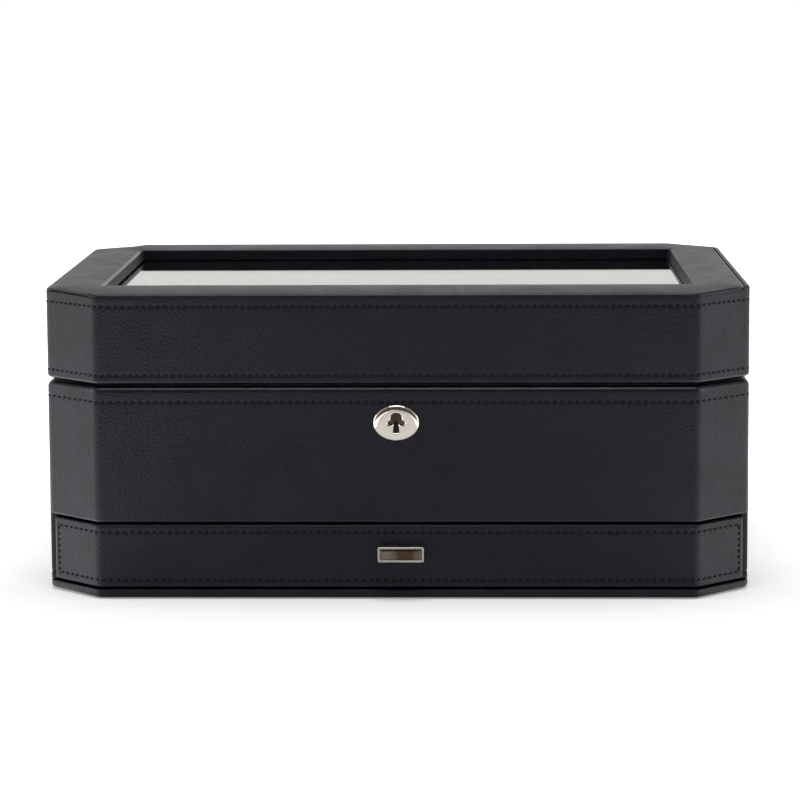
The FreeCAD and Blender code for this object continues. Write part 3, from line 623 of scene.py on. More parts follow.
def grain_group(name):
    """Pebbled grain: rounded cells of uneven size, fine creases in them and broad changes of
    tone."""
    tree, given, result = new_group(
        name, {"Vector": "Vector", "Cells": "Float"}, ("Height", "Crease", "Tone"))
    sway, crease_depth, tooth = 0.0014, 0.35, 0.22
    place = given["Vector"]
    push = vectors(tree, "SUBTRACT", noise(tree, place, 420.0, 2.0)["Color"], (0.5, 0.5, 0.5))
    small = put(tree, "ShaderNodeVectorMath", {0: push, "Scale": sway}, operation="SCALE")[0]
    cell = {"Vector": vectors(tree, "ADD", place, small), "Scale": given["Cells"]}
    cells = put(tree, "ShaderNodeTexVoronoi", {**cell, "Smoothness": 0.35}, feature="SMOOTH_F1")
    edges = put(tree, "ShaderNodeTexVoronoi", cell, feature="DISTANCE_TO_EDGE")
    dome = spread(tree, cells["Distance"], 0.1, 0.75, 1.0, 0.0)
    crease = spread(tree, edges["Distance"], 0.0, 0.16, 1.0, 0.0)
    height = sums(tree, "SUBTRACT", dome, times(tree, crease, crease_depth))
    fine = times(tree, noise(tree, place, 3200.0, 3.0)["Fac"], tooth)
    tone = spread(tree, noise(tree, place, 55.0, 3.0)["Fac"], 0.3, 0.7, 0.0, 1.0)
    feed(tree, result, {"Height": sums(tree, "ADD", height, fine), "Crease": crease, "Tone": tone})
    return tree


def nap_group(name):
    """Brushed nap: short fibres lying one way, with patches stroked lighter and darker."""
    tree, given, result = new_group(
        name, {"Vector": "Vector", "Fibre": "Float"}, ("Height", "Tone"))
    fibre_share, patch_share = 0.55, 0.45
    place = given["Vector"]
    laid = put(tree, "ShaderNodeMapping", {"Vector": place, "Rotation": (0.3, 0.5, 0.4),
                                           "Scale": (1.0, 0.45, 1.0)})[0]
    fibre = noise(tree, laid, given["Fibre"], 4.0, Roughness=0.65)["Fac"]
    patch = noise(tree, place, 70.0, 3.0, Distortion=0.6)["Fac"]
    tone = sums(tree, "ADD", times(tree, fibre, fibre_share), times(tree, patch, patch_share))
    feed(tree, result, {"Height": fibre, "Tone": spread(tree, tone, 0.3, 0.7, 0.0, 1.0)})
    return tree


def scuff_group(name):
    """Faint rubbing: long fine scratches crossed by soft blotches."""
    tree, given, result = new_group(name, {"Vector": "Vector", "Stretch": "Vector"}, ("Scuff",))
    line_share, blot_share = 0.7, 0.3
    drawn = vectors(tree, "MULTIPLY", given["Vector"], given["Stretch"])
    lines = noise(tree, drawn, 1.0, 3.0)["Fac"]
    blots = noise(tree, given["Vector"], 260.0, 2.0)["Fac"]
    scuff = sums(tree, "ADD", times(tree, lines, line_share), times(tree, blots, blot_share))
    feed(tree, result, {"Scuff": spread(tree, scuff, 0.35, 0.65, 0.0, 1.0)})
    return tree


def start_material(name):
    """A material with its Principled shader's sockets and the object coordinates that its pattern
    follows."""
    material = bpy.data.materials.new(name)
    material.use_nodes = True
    tree = material.node_tree
    place = put(tree, "ShaderNodeTexCoord")["Object"]
    return material, tree, tree.nodes["Principled BSDF"].inputs, place


def scuffs(tree, place, stretch):
    return placed(tree, scuff_group, "Fine scuffs", {"Vector": place, "Stretch": stretch})["Scuff"]


def black_leather(name, look):
    """Pebbled leather: painted shade darkens its creases, with broad changes of tone and gloss, and
    shinier and smoother along its folds."""
    material, tree, shader, place = start_material(name)
    grain = placed(tree, grain_group, "Pebbled grain",
                   {"Vector": place, "Cells": 1.0 / look.grain})
    crease, change = grain["Crease"], 0.025
    fold = put(tree, "ShaderNodeAttribute", attribute_name="fold")["Fac"]
    tone = mixed(tree, grain["Tone"], scaled(look.colour, 0.7), scaled(look.colour, 1.4))
    gloss = spread(tree, grain["Tone"], 0.0, 1.0, look.gloss + change, look.gloss - change)
    rough = sums(tree, "ADD", gloss, times(tree, crease, 0.12))
    height = times(tree, grain["Height"], spread(tree, fold, 0.0, 1.0, 1.0, 0.45))
    feed(tree, shader, {
        # Painted shade: the creases of the grain are painted darker.
        "Base Color": mixed(tree, times(tree, crease, 0.7), tone, scaled(look.colour, 0.25)),
        "Roughness": sums(tree, "SUBTRACT", rough, times(tree, fold, 0.16)),
        "Coat Weight": times(tree, fold, 0.4),
        "Coat Roughness": 0.30,
        "Specular IOR Level": 0.27,
        "Normal": bumped(tree, height, 0.36, look.grain_depth)})
    return material


def sewing_thread(name, look):
    """Waxed thread: twisted strands, matt."""
    material, tree, shader, place = start_material(name)
    strand = noise(tree, place, 2600.0, 2.0)["Fac"]
    feed(tree, shader, {
        "Base Color": mixed(tree, strand, scaled(look.thread, 0.5), scaled(look.thread, 1.6)),
        "Roughness": spread(tree, strand, 0.3, 0.7, 0.7, 0.85),
        "Specular IOR Level": 0.25,
        "Normal": bumped(tree, strand, 0.4, 0.1 * MM)})
    return material


def suede(name, colour, fibre=1500.0, sheen=0.06):
    """Brushed suede: nap in two tones, no shine, a little sheen."""
    material, tree, shader, place = start_material(name)
    nap = placed(tree, nap_group, "Brushed nap", {"Vector": place, "Fibre": fibre})
    feed(tree, shader, {
        "Base Color": mixed(tree, nap["Tone"], scaled(colour, 0.68), scaled(colour, 1.35)),
        "Roughness": spread(tree, nap["Tone"], 0.0, 1.0, 0.98, 0.86),
        "Specular IOR Level": 0.2,
        "Sheen Weight": sheen,
        "Sheen Roughness": 0.5,
        "Normal": bumped(tree, nap["Height"], 0.35, 0.25 * MM)})
    return material


def stained_board(name, colour, stretch, contrast):
    """Stained board or wood: fibres drawn out along the board."""
    material, tree, shader, place = start_material(name)
    drawn = put(tree, "ShaderNodeMapping", {"Vector": place, "Scale": stretch})[0]
    fibre = noise(tree, drawn, 1.0, 6.0, Roughness=0.6, Distortion=0.8)["Fac"]
    light = spread(tree, fibre, 0.32, 0.68, 0.0, 1.0)
    feed(tree, shader, {
        "Base Color": mixed(tree, light, scaled(colour, 1 - contrast),
                            scaled(colour, 1 + contrast)),
        "Roughness": spread(tree, fibre, 0.3, 0.7, 0.7, 0.5),
        "Specular IOR Level": 0.3,
        "Normal": bumped(tree, fibre, 0.25, 0.15 * MM)})
    return material


def metal(name, colour, low, high, stretch, strength):
    """Plated or bare metal with fine scuffs that change its roughness."""
    material, tree, shader, place = start_material(name)
    scuff = scuffs(tree, place, stretch)
    feed(tree, shader, {
        "Base Color": mixed(tree, scuff, scaled(colour, 0.92), scaled(colour, 1.05)),
        "Roughness": spread(tree, scuff, 0.0, 1.0, low, high),
        "Metallic": 1.0,
        "Normal": bumped(tree, scuff, strength, 0.05 * MM)})
    return material


def brushed_face(look):
    """Brushed metal with upright streaks. Its colour is painted reflection: dark brown in the
    middle and paler towards both ends of the pull.
    """
    material, tree, shader, place = start_material("Brushed face")
    streak = scuffs(tree, place, (2600.0, 260.0, 120.0))
    across = put(tree, "ShaderNodeSeparateXYZ", {0: place})["X"]
    across = sums(tree, "SUBTRACT", across, float(PULL_MIDDLE[0]))
    # Painted reflection: the face is painted paler towards both ends, fully at the left end and
    # less at the right.
    burnish_or_painted_reflection = sums(tree, "MAXIMUM", spread(tree, across, -4.5 * MM, -0.5 * MM, 1.0, 0.0),
                  spread(tree, across, 4.5 * MM, 8.0 * MM, 0.0, 0.7))
    tone = mixed(tree, burnish_or_painted_reflection, scaled(look.inlay, 1.0), scaled(look.painted_pale_reflection, 1.0))
    feed(tree, shader, {
        "Base Color": mixed(tree, times(tree, streak, 0.35), tone, scaled(look.inlay, 0.7)),
        "Roughness": spread(tree, streak, 0.0, 1.0, 0.2, 0.42),
        "Metallic": 1.0,
        "Normal": bumped(tree, streak, 0.12, 0.05 * MM)})
    return material


def clear_glass():
    """Clear float glass, wiped but not spotless."""
    material, tree, shader, place = start_material("Clear glass")
    wipe = scuffs(tree, place, (60.0, 220.0, 60.0))
    feed(tree, shader, {
        "Roughness": spread(tree, wipe, 0.0, 1.0, 0.0, 0.012),
        "Base Color": (0.97, 0.985, 0.975, 1.0),
        "Transmission Weight": 1.0,
        "IOR": 1.52})
    return material


# Pieces
def lap_shares(outline):
    """Where the lid's panel laps over its band, where a seam shows under its edge, and how far it
    droops: it laps along the front and the left side, the seam shows on the left front corner, and
    the droop grows across the front corners."""
    lap_run, seam_run = 4 * MM, 5 * MM
    front = 1 - outline.past(1, CUT_Y - HALF_Y - lap_run, lap_run)
    left = 1 - outline.past(0, -HALF_X, CUT_X)
    seam = front * (1 - outline.past(0, CUT_X - HALF_X - seam_run, seam_run))
    return np.maximum(front, left), seam, DROOP * (1 - outline.past(1, FRONT, CUT_Y))


def lid_band(look):
    """Side band of the lid: rolled over at the top beside the panel, tucked under the panel's edge
    where that laps over it, and rolled under at the foot, where its edge hangs a little lower than
    the wall."""
    top, foot, hem = LID_HIGH[2], LID_LOW[2], look.hem
    turn, nose, lip, inner = 1.9 * MM, 0.5 * MM, 0.8 * MM, 1.0 * MM
    hang_width, level_from = 1.5 * MM, 5.0 * MM
    squeeze, rub = 0.8, 0.3
    low = foot - HANG
    over = profile((turn, top - inner), quarter((turn - nose, top - nose), nose, 0, 90, 3),
                   quarter((lip, top - lip), lip, 90, 180))
    rows = profile(
        over, stitched_row(LID_ROWS[0]), stitched_row(LID_ROWS[1]),
        quarter((hem, low + hem), hem, 180, 270), (hem + hang_width, low), (level_from, foot),
        (SHELL, foot), (SHELL, foot + SKIN), (SKIN, foot + SKIN), (SKIN, top - inner))
    outline = plan_outline(look.lid_pitch)
    lap, seam, droop = lap_shares(outline)
    tucked = lap - seam / 2
    fall = LAP * lap + (SEAM - LAP) * seam + droop
    pull = outline.pull(look.pull_in)
    rings = [outline.ring(inset, level + (top - level) * squeeze * tucked - fall,
                          -squeeze * inset * tucked) for inset, level, _, _ in over]
    rings += [outline.ring(inset, level, weight * pull)
              for inset, level, weight, _ in rows[len(over):-1]]
    rings.append(outline.ring(rows[-1, 0], rows[-1, 1] - fall))
    fold = np.repeat(rows[:, 3:], len(lap), 1)
    fold[:len(over)] *= rub * (1 - tucked)
    return closed_laps(rings, fold)


def ends_in(ring, left, right):
    """A ring of the window with its ends brought in: every point moves in proportion to its
    distance from the middle."""
    share = np.where(ring[:, 0] < 0, left, right) / WINDOW_X
    return ring * np.stack([1 - share, np.ones(len(ring)), np.ones(len(ring))], 1)


def panel_edge(inset, drop, radius):
    """Profile of the panel's outer edge: from a drop below the top, over a round, to the top."""
    return profile((inset, PANEL_TOP - drop),
                   quarter((inset + radius, PANEL_TOP - radius), radius, 180, 90, 5))


def lid_panel():
    """Top panel: the eight-sided edge outside, let in beside the band along the right side and the
    back and lapping over it along the front and the left; the window's turned-down edge inside,
    matched sample by sample. The window's edge is rounder at its ends than along the front and the
    back, and slopes in towards the glass there. Between its edges the panel is crowned: a parabola
    across each rail."""
    counts, arc = np.array([60, 16, 36, 16] * 2), 4
    outer = Outline(octagon(HALF_X, HALF_Y), ROUNDS, counts, 1, arc)
    window = rectangle(WINDOW_X, GLASS_HIGH[1] - GLASS_BED)
    inner = Outline(window, 0.7 * MM, counts[::2], 1, 2 * arc + counts[1])
    top, sill = PANEL_TOP, GLASS_HIGH[2] + THIN
    let_in = panel_edge(2.8 * MM, 1.2 * MM, 0.7 * MM)
    lapped = panel_edge(0.05 * MM, 1.7 * MM, 1.4 * MM)
    seamed = panel_edge(0.1 * MM, 0.7 * MM, 0.5 * MM)
    lap, seam, droop = lap_shares(outer)
    rings = [outer.ring(a[0], a[1] + (b[1] - a[1]) * lap + (c[1] - b[1]) * seam - droop,
                        (b[0] - a[0]) * lap + (c[0] - b[0]) * seam)
             for a, b, c in zip(let_in, lapped, seamed)]
    facing = inner.at(0)[1][:, 0]
    at_left, at_right = np.clip(-facing, 0, 1), np.clip(facing, 0, 1)
    lip = (0.5 + 1.1 * at_left + 0.5 * at_right) * MM
    groove = (0.4 + 0.5 * at_left) * MM
    rub = 0.15 + 0.65 * at_left
    left, right, slope, undercut, lap_rub = 0.85 * MM, 0.3 * MM, 1.4 * MM, 0.8, 0.7
    turn = quarter((0, 0), 1, 90, 0)
    rolled = [ends_in(inner.ring(0, top - lip * (1 - b), -lip * (1 - a)), left, right)
              for a, b in turn[:, :2]]
    near = rings[-1]
    shares = np.array([0.03, 0.12, 0.25, 0.38, 0.5, 0.62, 0.75, 0.88, 0.97])
    swell = CROWN * 4 * shares * (1 - shares)
    rings += [near + (rolled[0] - near) * share + (0, 0, rise)
              for share, rise in zip(shares, swell)]
    rings += rolled
    tail = [(0, sill + groove), (-undercut * groove, sill + undercut * groove)]
    rings += [ends_in(inner.ring(0, level, inset), left + slope, right + slope)
              for inset, level in tail]
    rings += [inner.ring(-SKIN, sill), inner.ring(-SKIN, top - SKIN)]
    plain = np.zeros(len(near))
    fold = [f * (1 - lap_rub * lap) for f in let_in[:, 3]] + [plain] * len(shares)
    fold += [f * rub for f in turn[:, 3]]
    fold += [plain] * (len(rings) - len(fold))
    return closed_laps(rings, np.array(fold))


def body_band(look):
    """Upper tier of the body: turned in over the rim, which dips inwards, stands a little higher
    along the front and is burnished there, and turned under at the foot, with one stitched row."""
    top, foot, hem, rim = BODY_TOP, BODY_FOOT, look.hem, look.rim
    dip, rub, rub_run = 0.7 * MM, 0.8, 5 * MM
    over = profile((SHELL, top - SKIN - dip), (SHELL, top - dip),
                   quarter((rim, top - rim), rim, 90, 180, 9))
    rows = profile(
        over, stitched_row(BODY_ROW), (0, (BODY_ROW + foot) / 2),
        quarter((hem, foot + hem), hem, 180, 270), (SHELL, foot), (SHELL, foot + SKIN),
        (SKIN, foot + SKIN), (SKIN, top - SKIN - dip))
    outline = plan_outline(look.pitch)
    points, faces, fold = band(outline, rows, look.pull_in)
    fold = fold.reshape(len(rows), -1).copy()
    fold[:len(over)] *= 1 - rub * outline.past(1, FRONT, rub_run)
    points = points.reshape(len(rows), -1, 3)
    lift = np.clip((over[:, 1] - top + rim) / rim, 0, 1)
    points[:len(over), :, 2] += RIM_LIFT * np.outer(lift, 1 - outline.past(1, FRONT, CUT_Y))
    return points.reshape(-1, 3), faces, fold.ravel()


def skirt_corners():
    """Plan of the lower tier: side and back walls as a C, its front ends square to the front and
    drawn in a little."""
    drawn, taper = 0.3 * MM, 12 * MM
    slant = np.hypot(CUT_X, CUT_Y)
    along = np.array([CUT_X, CUT_Y]) / slant
    across = np.array([along[1], -along[0]])
    edge = np.array([HALF_X, CUT_Y - HALF_Y]) - SIDE_EDGE * along
    nose = CUT_Y - HALF_Y - drawn
    meet = edge + across * (edge[1] - nose) / along[0]
    inside, deep = HALF_X - SHELL, HALF_Y - SHELL
    heel = edge - across * (edge[0] - inside) / along[1]
    x, y = HALF_X - THIN, HALF_Y - THIN
    shrink = SHELL * (CUT_X + CUT_Y - slant)
    cut_x, cut_y = CUT_X - shrink / CUT_Y, CUT_Y - shrink / CUT_X
    right = [heel, meet, (x - drawn, nose), (x, nose + taper), (x, y - CUT_Y), (x - CUT_X, y)]
    right_in = [(inside - cut_x, deep), (inside, deep - cut_y)]
    left, left_in = ([(-px, py) for px, py in reversed(side)] for side in (right, right_in))
    return np.array(right + left + left_in + right_in)


def body_skirt(look):
    """Lower tier behind the drawer, with one stitched row near its foot."""
    corners = skirt_corners()
    end, inner = np.array([0.4, 0.7, 1.1, 0.5]) * MM, np.full(4, 0.5 * MM)
    radius = np.concatenate([end, ROUNDS[3:7], end[::-1], inner])
    outline = Outline(corners, radius, np.full(len(corners), 2))
    foot, top, soft = PLINTH_HIGH[2], BODY_FOOT + look.hem, 0.8 * MM
    pull_share = 0.25
    row = stitched_row(SKIRT_ROW)[::-1] * [1, 1, pull_share]
    rows = profile(quarter((soft, foot + soft), soft, 270, 180, 4), row, (0, top), (SKIN, top))
    return stack(outline, rows)


def skirt_threads(look):
    """Stitches along the outer faces of the lower tier, from one side round the back to the
    other."""
    corners = octagon(HALF_X - THIN, HALF_Y - THIN)[2:]
    outline = stitched_outline(corners, ROUNDS[2:], look.pitch)
    last = len(corners) - 1
    keep = (outline.side != last) & ~(outline.arc & np.isin(outline.side, (0, last)))
    return band_threads(outline, SKIRT_ROW, SKIRT_SUNK, look, keep)


def plinth_wrap(look):
    """Leather over the plinth's edge: rounded at the foot, turned over the top and under the
    base."""
    foot, top = PLINTH_LOW[2], PLINTH_HIGH[2]
    thick, over, under, soft, board = 0.8 * MM, 26 * MM, 10.0 * MM, 2.0 * MM, 1.6 * MM
    rows = profile(
        (over, top - thick), (over, top), quarter((thick, top - thick), thick, 90, 180, 4),
        quarter((soft, foot + soft), soft, 180, 270), (under, foot), (under, foot + thick),
        (board, foot + thick), (board, top - thick))
    return band(plan_outline(look.pitch, 1), rows * [1, 1, 1, 0])


class DrawerFace:
    """The drawer's leather front, drawn flat as (run, rise, depth) and then bent round both front
    corners."""

    def __init__(self, look):
        room, corner = 0.5 * MM, 1.0 * MM
        self.look = look
        self.straight = HALF_X - CUT_X
        self.turn = np.arctan2(CUT_Y, CUT_X)
        self.half_turn = np.tan(self.turn / 2)
        self.tangent = FRONT_ROUND * self.half_turn
        self.flank = np.hypot(CUT_X, CUT_Y) - SIDE_EDGE - room
        self.arc = FRONT_ROUND * self.turn
        self.half_run = self.straight - self.tangent + self.arc + self.flank - self.tangent
        top = DRAWER_HIGH[2] + DRAWER_LIFT
        self.middle = (top + DRAWER_LOW[2]) / 2
        corners = rectangle(self.half_run, (top - DRAWER_LOW[2]) / 2)
        self.outline = stitched_outline(corners, corner, look.pitch, arc_steps=4)

    def bend(self, run, depth):
        """Plan point of a flat point: straight in front, an arc at the corner, then straight along
        the flank. Deeper than the corner's round, the runs shrink as a mitre does."""
        side, run = np.sign(run), np.abs(run)
        radius = np.maximum(FRONT_ROUND - depth, THIN)
        reach = (depth + radius) * self.half_turn
        flat = self.straight - self.tangent
        front_x = run * (self.straight - reach) / flat
        angle = np.clip((run - flat) / FRONT_ROUND, 0, self.turn)
        arc_x = self.straight - reach + radius * np.sin(angle)
        arc_y = FRONT + depth + radius * (1 - np.cos(angle))
        past = np.clip((run - flat - self.arc) / (self.flank - self.tangent), 0, None)
        ahead = past * (self.flank - reach)
        x = np.where(run <= flat, front_x, arc_x + ahead * np.cos(self.turn))
        y = np.where(run <= flat, FRONT + depth, arc_y + ahead * np.sin(self.turn))
        heading = np.where(run <= flat, 0, angle)
        return side * x, y, np.stack([side * np.sin(heading), -np.cos(heading), 0 * heading], -1)

    def lap(self, inset, depth, weight=0.0):
        """One lap round the panel at an inset from its edge. At the ends the stitches lie nearer to
        the edge, which is rounded more flatly."""
        flatter = 0.7
        plan, normal = self.outline.at(inset)
        flat = 1 - flatter * np.abs(normal[:, 0])
        depth = np.where(depth > self.look.drawer_edge, depth, depth * flat)
        depth = depth + weight * self.outline.pull(self.look.pull_in)
        x, y, _ = self.bend(self.drawn_out(plan[:, 0], inset), depth)
        return np.stack([x, y, plan[:, 1] + self.middle], 1)

    def drawn_out(self, run, inset):
        """Runs at an inset, drawn out so that both ends' border comes nearer to the edge."""
        ends = inset * END_BORDER / BORDER if inset < BORDER else inset - BORDER + END_BORDER
        half_run = self.half_run
        return run * (half_run - ends) / (half_run - inset)

    def surface(self):
        """Laps from the back edge over the rolled edge and the stitched border, then strips across
        the middle."""
        hem, rub = self.look.drawer_edge, 0.8
        row = np.stack([BORDER + BORDER_OFFSETS, 0 * BORDER_OFFSETS, drawn_in(BORDER_OFFSETS)], 1)
        rows = profile((SKIN, SKIN), (SKIN, SHELL), (0, SHELL),
                       quarter((hem, hem), hem, 180, 270), row)
        points = np.concatenate([self.lap(*values) for values in rows[:, :3]])
        count = len(points) // len(rows)
        faces = [grid_quads(len(rows), count)]
        faces += [strip[:, ::-1] for strip in self.fill(0)] + self.fill(len(points) - count)
        # Burnish on the folds: full at the panel's ends and a fifth of that along its long edges.
        burnish_or_painted_reflection = 1 - rub + rub * np.abs(self.outline.at(0)[1][:, 0])
        return points, outward(points, faces), np.outer(rows[:, 3], burnish_or_painted_reflection).ravel()

    def fill(self, start):
        """Faces across a lap: strips from the lower edge to the upper, and one face at each end."""
        line = self.outline
        bottom = np.flatnonzero((line.side == 0) & ~line.arc)
        top = np.flatnonzero((line.side == 2) & ~line.arc)[::-1]
        strips = np.stack([bottom[:-1], bottom[1:], top[1:], top[:-1]], 1) + start
        right = np.arange(bottom[-1], top[-1] + 1)[None] + start
        left = np.concatenate([np.arange(top[0], len(line.side)), [bottom[0]]])[None] + start
        return [strips, right, left]

    def threads(self):
        """The stitched border: a thread at every half phase, laid along the bent panel."""
        plan, normal = self.outline.at(BORDER)
        here = self.outline.stitches() & ~self.outline.arc
        run, rise, edge = self.drawn_out(plan[here, 0], BORDER), plan[here, 1], normal[here]
        x, y, face = self.bend(run, np.full(run.shape, SUNK))
        flat = np.stack([-face[:, 1], face[:, 0], 0 * rise], 1)
        along = flat * -edge[:, 1:2] + np.stack([0 * rise, 0 * rise, edge[:, 0]], 1)
        return threads(np.stack([x, y, rise + self.middle], 1), along, face, self.look)


def keyhole_reach(angle):
    """Distance from the escutcheon's middle to the keyhole's edge: the furthest of a round head
    that lies above the middle, a slot that widens downwards and a round lobe on each side."""
    head, rise = 2.6 * MM, 2.2 * MM
    neck, flare, drop = 0.95 * MM, 0.12, 4.6 * MM
    apart, lobe = 2.75 * MM, 1.15 * MM
    cos, sin = np.cos(angle), np.sin(angle)
    circle = rise * sin + np.sqrt(np.maximum(head ** 2 - (rise * cos) ** 2, 0))
    tall = np.where(sin < 0, drop, rise)
    slot = np.minimum(neck / np.maximum(np.abs(cos) - flare * np.abs(sin), TINY),
                      tall / np.maximum(np.abs(sin), TINY))
    across = lobe ** 2 - (apart * sin) ** 2
    lobes = np.where(across > 0, apart * np.abs(cos) + np.sqrt(np.maximum(across, 0)), 0)
    return np.maximum(circle, np.maximum(slot, lobes))


def full_turn(count):
    return np.linspace(0, 2 * np.pi, count + 1)[:-1]


def pierced_disc(rings, turns):
    """Rings of (radius, height) round a hole in the front, joined into one closed solid."""
    middle = (OVAL_HIGH[2] + OVAL_LOW[2]) / 2
    rings = [np.broadcast_arrays(*ring, turns)[:2] for ring in rings]
    points = np.concatenate([np.stack([r * np.cos(turns), FRONT - h, middle + r * np.sin(turns)], 1)
                             for r, h in rings])
    return points, outward(points, [grid_quads(len(rings), len(turns), True)])


def escutcheon_dome():
    """Oval plate, cut through by the keyhole, whose edge is bevelled. It is nearly flat in the
    middle and falls steeply to its rim: the height above the rim goes with the square root of one
    less the eighth power of the share of the way out."""
    half_x, half_z = OVAL_HIGH[0], (OVAL_HIGH[2] - OVAL_LOW[2]) / 2
    crown, rim, bevel = FRONT - OVAL_LOW[1], 0.35 * MM, 0.4 * MM
    steepness, flat_share, steps = 8, 0.8, 12
    turns = full_turn(480)
    oval = 1 / np.hypot(np.cos(turns) / half_x, np.sin(turns) / half_z)
    hole = keyhole_reach(turns)
    bend = np.sin(np.linspace(0, np.pi / 2, steps)[1:])
    share = np.append(np.linspace(0, flat_share, steps), flat_share + (1 - flat_share) * bend)
    radius = hole + bevel + (oval - hole - bevel) * share[:, None]
    slope = 1 - np.clip(radius / oval, 0, 1) ** steepness
    height = rim + (crown - rim) * np.sqrt(np.maximum(slope, 0))
    rings = [(hole, 0.0), (hole, height[0] - bevel), *zip(radius, height), (oval, 0.0)]
    return pierced_disc(rings, turns)


def lock_drum():
    """Face of the lock behind the keyhole: a disc with a slot for the key below its middle."""
    half_slot, drop, bevel, rim, face = 0.9 * MM, 4.2 * MM, 0.2 * MM, 4.9 * MM, 0.5 * MM
    back = FRONT - OVAL_HIGH[1]
    turns = full_turn(240)
    slot = np.minimum(half_slot / np.maximum(np.abs(np.cos(turns)), TINY), drop)
    hole = np.where(np.sin(turns) < 0, np.maximum(slot, half_slot), half_slot)
    rings = [(hole, back), (hole, face - bevel), (hole + bevel, face), (rim, face), (rim, back)]
    return pierced_disc(rings, turns)


def pull_bar():
    """Drawer pull: a bevelled bar with a polished rim; its face is a piece of its own."""
    half_rim, sunk = PULL_RIM / 2, 0.4 * MM
    return pull_solid(profile((0, 0), quarter((half_rim, PULL_DEPTH), half_rim, 180, 0, 10),
                              (PULL_RIM, PULL_DEPTH - sunk)))


def pull_face():
    """Brushed plate let into the pull's rim, slightly crowned."""
    edge = PULL_RIM + 0.05 * MM
    steps = np.array([(0, -0.6), (0, -0.1), (0.15, 0.05), (1.15, 0.1)]) * MM
    return pull_solid(profile(steps + (edge, PULL_DEPTH)))


def pull_solid(rows):
    """Laps round the pull's rectangle; a row's level is how far it stands out of the drawer."""
    half_x, _, half_z = (PULL_HIGH - PULL_LOW) / 2
    outline = Outline(rectangle(half_x, half_z), 0.6 * MM, (8, 4, 8, 4), 1, 4)
    x, z, out = stack(outline, rows)[0].T
    points = np.stack([x + PULL_MIDDLE[0], FRONT - out, z + PULL_MIDDLE[2]], 1)
    return points, capped(points, len(rows))


def cushion_form(low, high):
    """Crowned roll: a rounded rectangle across, drawn in towards both ends, every face in from the
    node's so that the filling has room to swell."""
    room, corner = 1.6 * MM, 11 * MM
    half = (high - low) / 2 - room
    section = Outline(rectangle(half[1], half[2]), corner, (6, 3, 6, 3), 1, 6)
    share = np.array([-1.0, -0.94, -0.8, -0.6, -0.35, 0.0, 0.35, 0.6, 0.8, 0.94, 1.0])
    drawn = np.array([5.0, 3.0, 1.5, 0.6, 0.2, 0.0, 0.2, 0.6, 1.5, 3.0, 5.0]) * MM
    laps = [section.ring(d, s * half[0]) for s, d in zip(share, drawn)]
    points = np.concatenate(laps)[:, [2, 0, 1]] + (low + high) / 2
    return points, capped(points, len(laps))


def swollen(piece, low, high, most):
    """Fills a cushion's cover: remeshed, pinned along its two seams, pushed out by pressure as
    cloth, moved by no more than most, flat underneath and inside the node's sides."""
    seam_inset, seam_width, steps = 7.5 * MM, 1.5 * MM, 20
    remesh = piece.modifiers.new("Remesh", "REMESH")
    remesh.mode, remesh.voxel_size = "VOXEL", 4.0 * MM
    start = mesh_points(baked(piece))
    seam = (high[0] - low[0]) / 2 - seam_inset
    middle = (low[0] + high[0]) / 2
    near = np.abs(np.abs(start[:, 0] - middle) - seam) < seam_width
    group = piece.vertex_groups.new(name="seams")
    group.add(np.flatnonzero(near).tolist(), 1.0, "REPLACE")
    cloth = piece.modifiers.new("Cloth", "CLOTH").settings
    cloth.vertex_group_mass = "seams"
    cloth.use_pressure = True
    cloth.uniform_pressure_force = 4.0
    cloth.effector_weights.gravity = 0.0
    cloth.mass = 0.15
    scene = bpy.context.scene
    for step in range(1, steps + 1):
        scene.frame_set(step)
        bpy.context.view_layer.update()
    mesh = baked(piece)
    scene.frame_set(1)
    move = mesh_points(mesh) - start
    far = np.linalg.norm(move, axis=1, keepdims=True)
    moved = start + move * np.minimum(1, most / np.maximum(far, TINY * MM))
    move_points(mesh, np.clip(moved, low, high))
    mesh.update()
    smooth = piece.modifiers.new("Subdivision", "SUBSURF")
    smooth.levels = smooth.render_levels = 1
    baked(piece)


def baked(piece):
    """Applies a piece's modifiers and returns its mesh."""
    graph = bpy.context.evaluated_depsgraph_get()
    mesh = bpy.data.meshes.new_from_object(piece.evaluated_get(graph))
    old = piece.data
    piece.modifiers.clear()
    piece.data = mesh
    bpy.data.meshes.remove(old)
    return mesh


def settings():
    return bpy.context.scene.watch_box


def leather_of(look):
    return kept(bpy.data.materials, black_leather, "Black leather", look)


def thread_of(look):
    return kept(bpy.data.materials, sewing_thread, "Sewing thread", look)


# Operators
class WATCHBOX_OT_lid_leather(bpy.types.Operator):
    """Wraps the lid: stitched side band and top panel"""

    bl_idname = "watchbox.lid_leather"
    bl_label = "Lid leather"

    def execute(self, context):
        look = settings().leather
        finish = "lid", "black_leather", leather_of(look)
        make_piece("lid_band", lid_band(look), *finish, ["lid_band_leather"])
        make_piece("lid_panel", lid_panel(), *finish, ["lid_top_leather"])
        return {"FINISHED"}


class WATCHBOX_OT_body_leather(bpy.types.Operator):
    """Wraps the body's two tiers and the plinth"""

    bl_idname = "watchbox.body_leather"
    bl_label = "Body leather"

    def execute(self, context):
        look = settings().leather
        finish = "case", "black_leather", leather_of(look)
        make_piece("body_band", body_band(look), *finish, ["body_leather"])
        make_piece("body_skirt", body_skirt(look), *finish)
        make_piece("plinth_wrap", plinth_wrap(look), *finish, ["base_leather"])
        return {"FINISHED"}


class WATCHBOX_OT_drawer_leather(bpy.types.Operator):
    """Wraps the drawer front and sews its border"""

    bl_idname = "watchbox.drawer_leather"
    bl_label = "Drawer leather"

    def execute(self, context):
        look = settings().leather
        face = DrawerFace(look)
        make_piece("drawer_face", face.surface(), "drawer", "black_leather", leather_of(look),
                   ["drawer_front_leather"])
        make_piece("drawer_stitching", face.threads(), "drawer", "black_leather", thread_of(look))
        return {"FINISHED"}


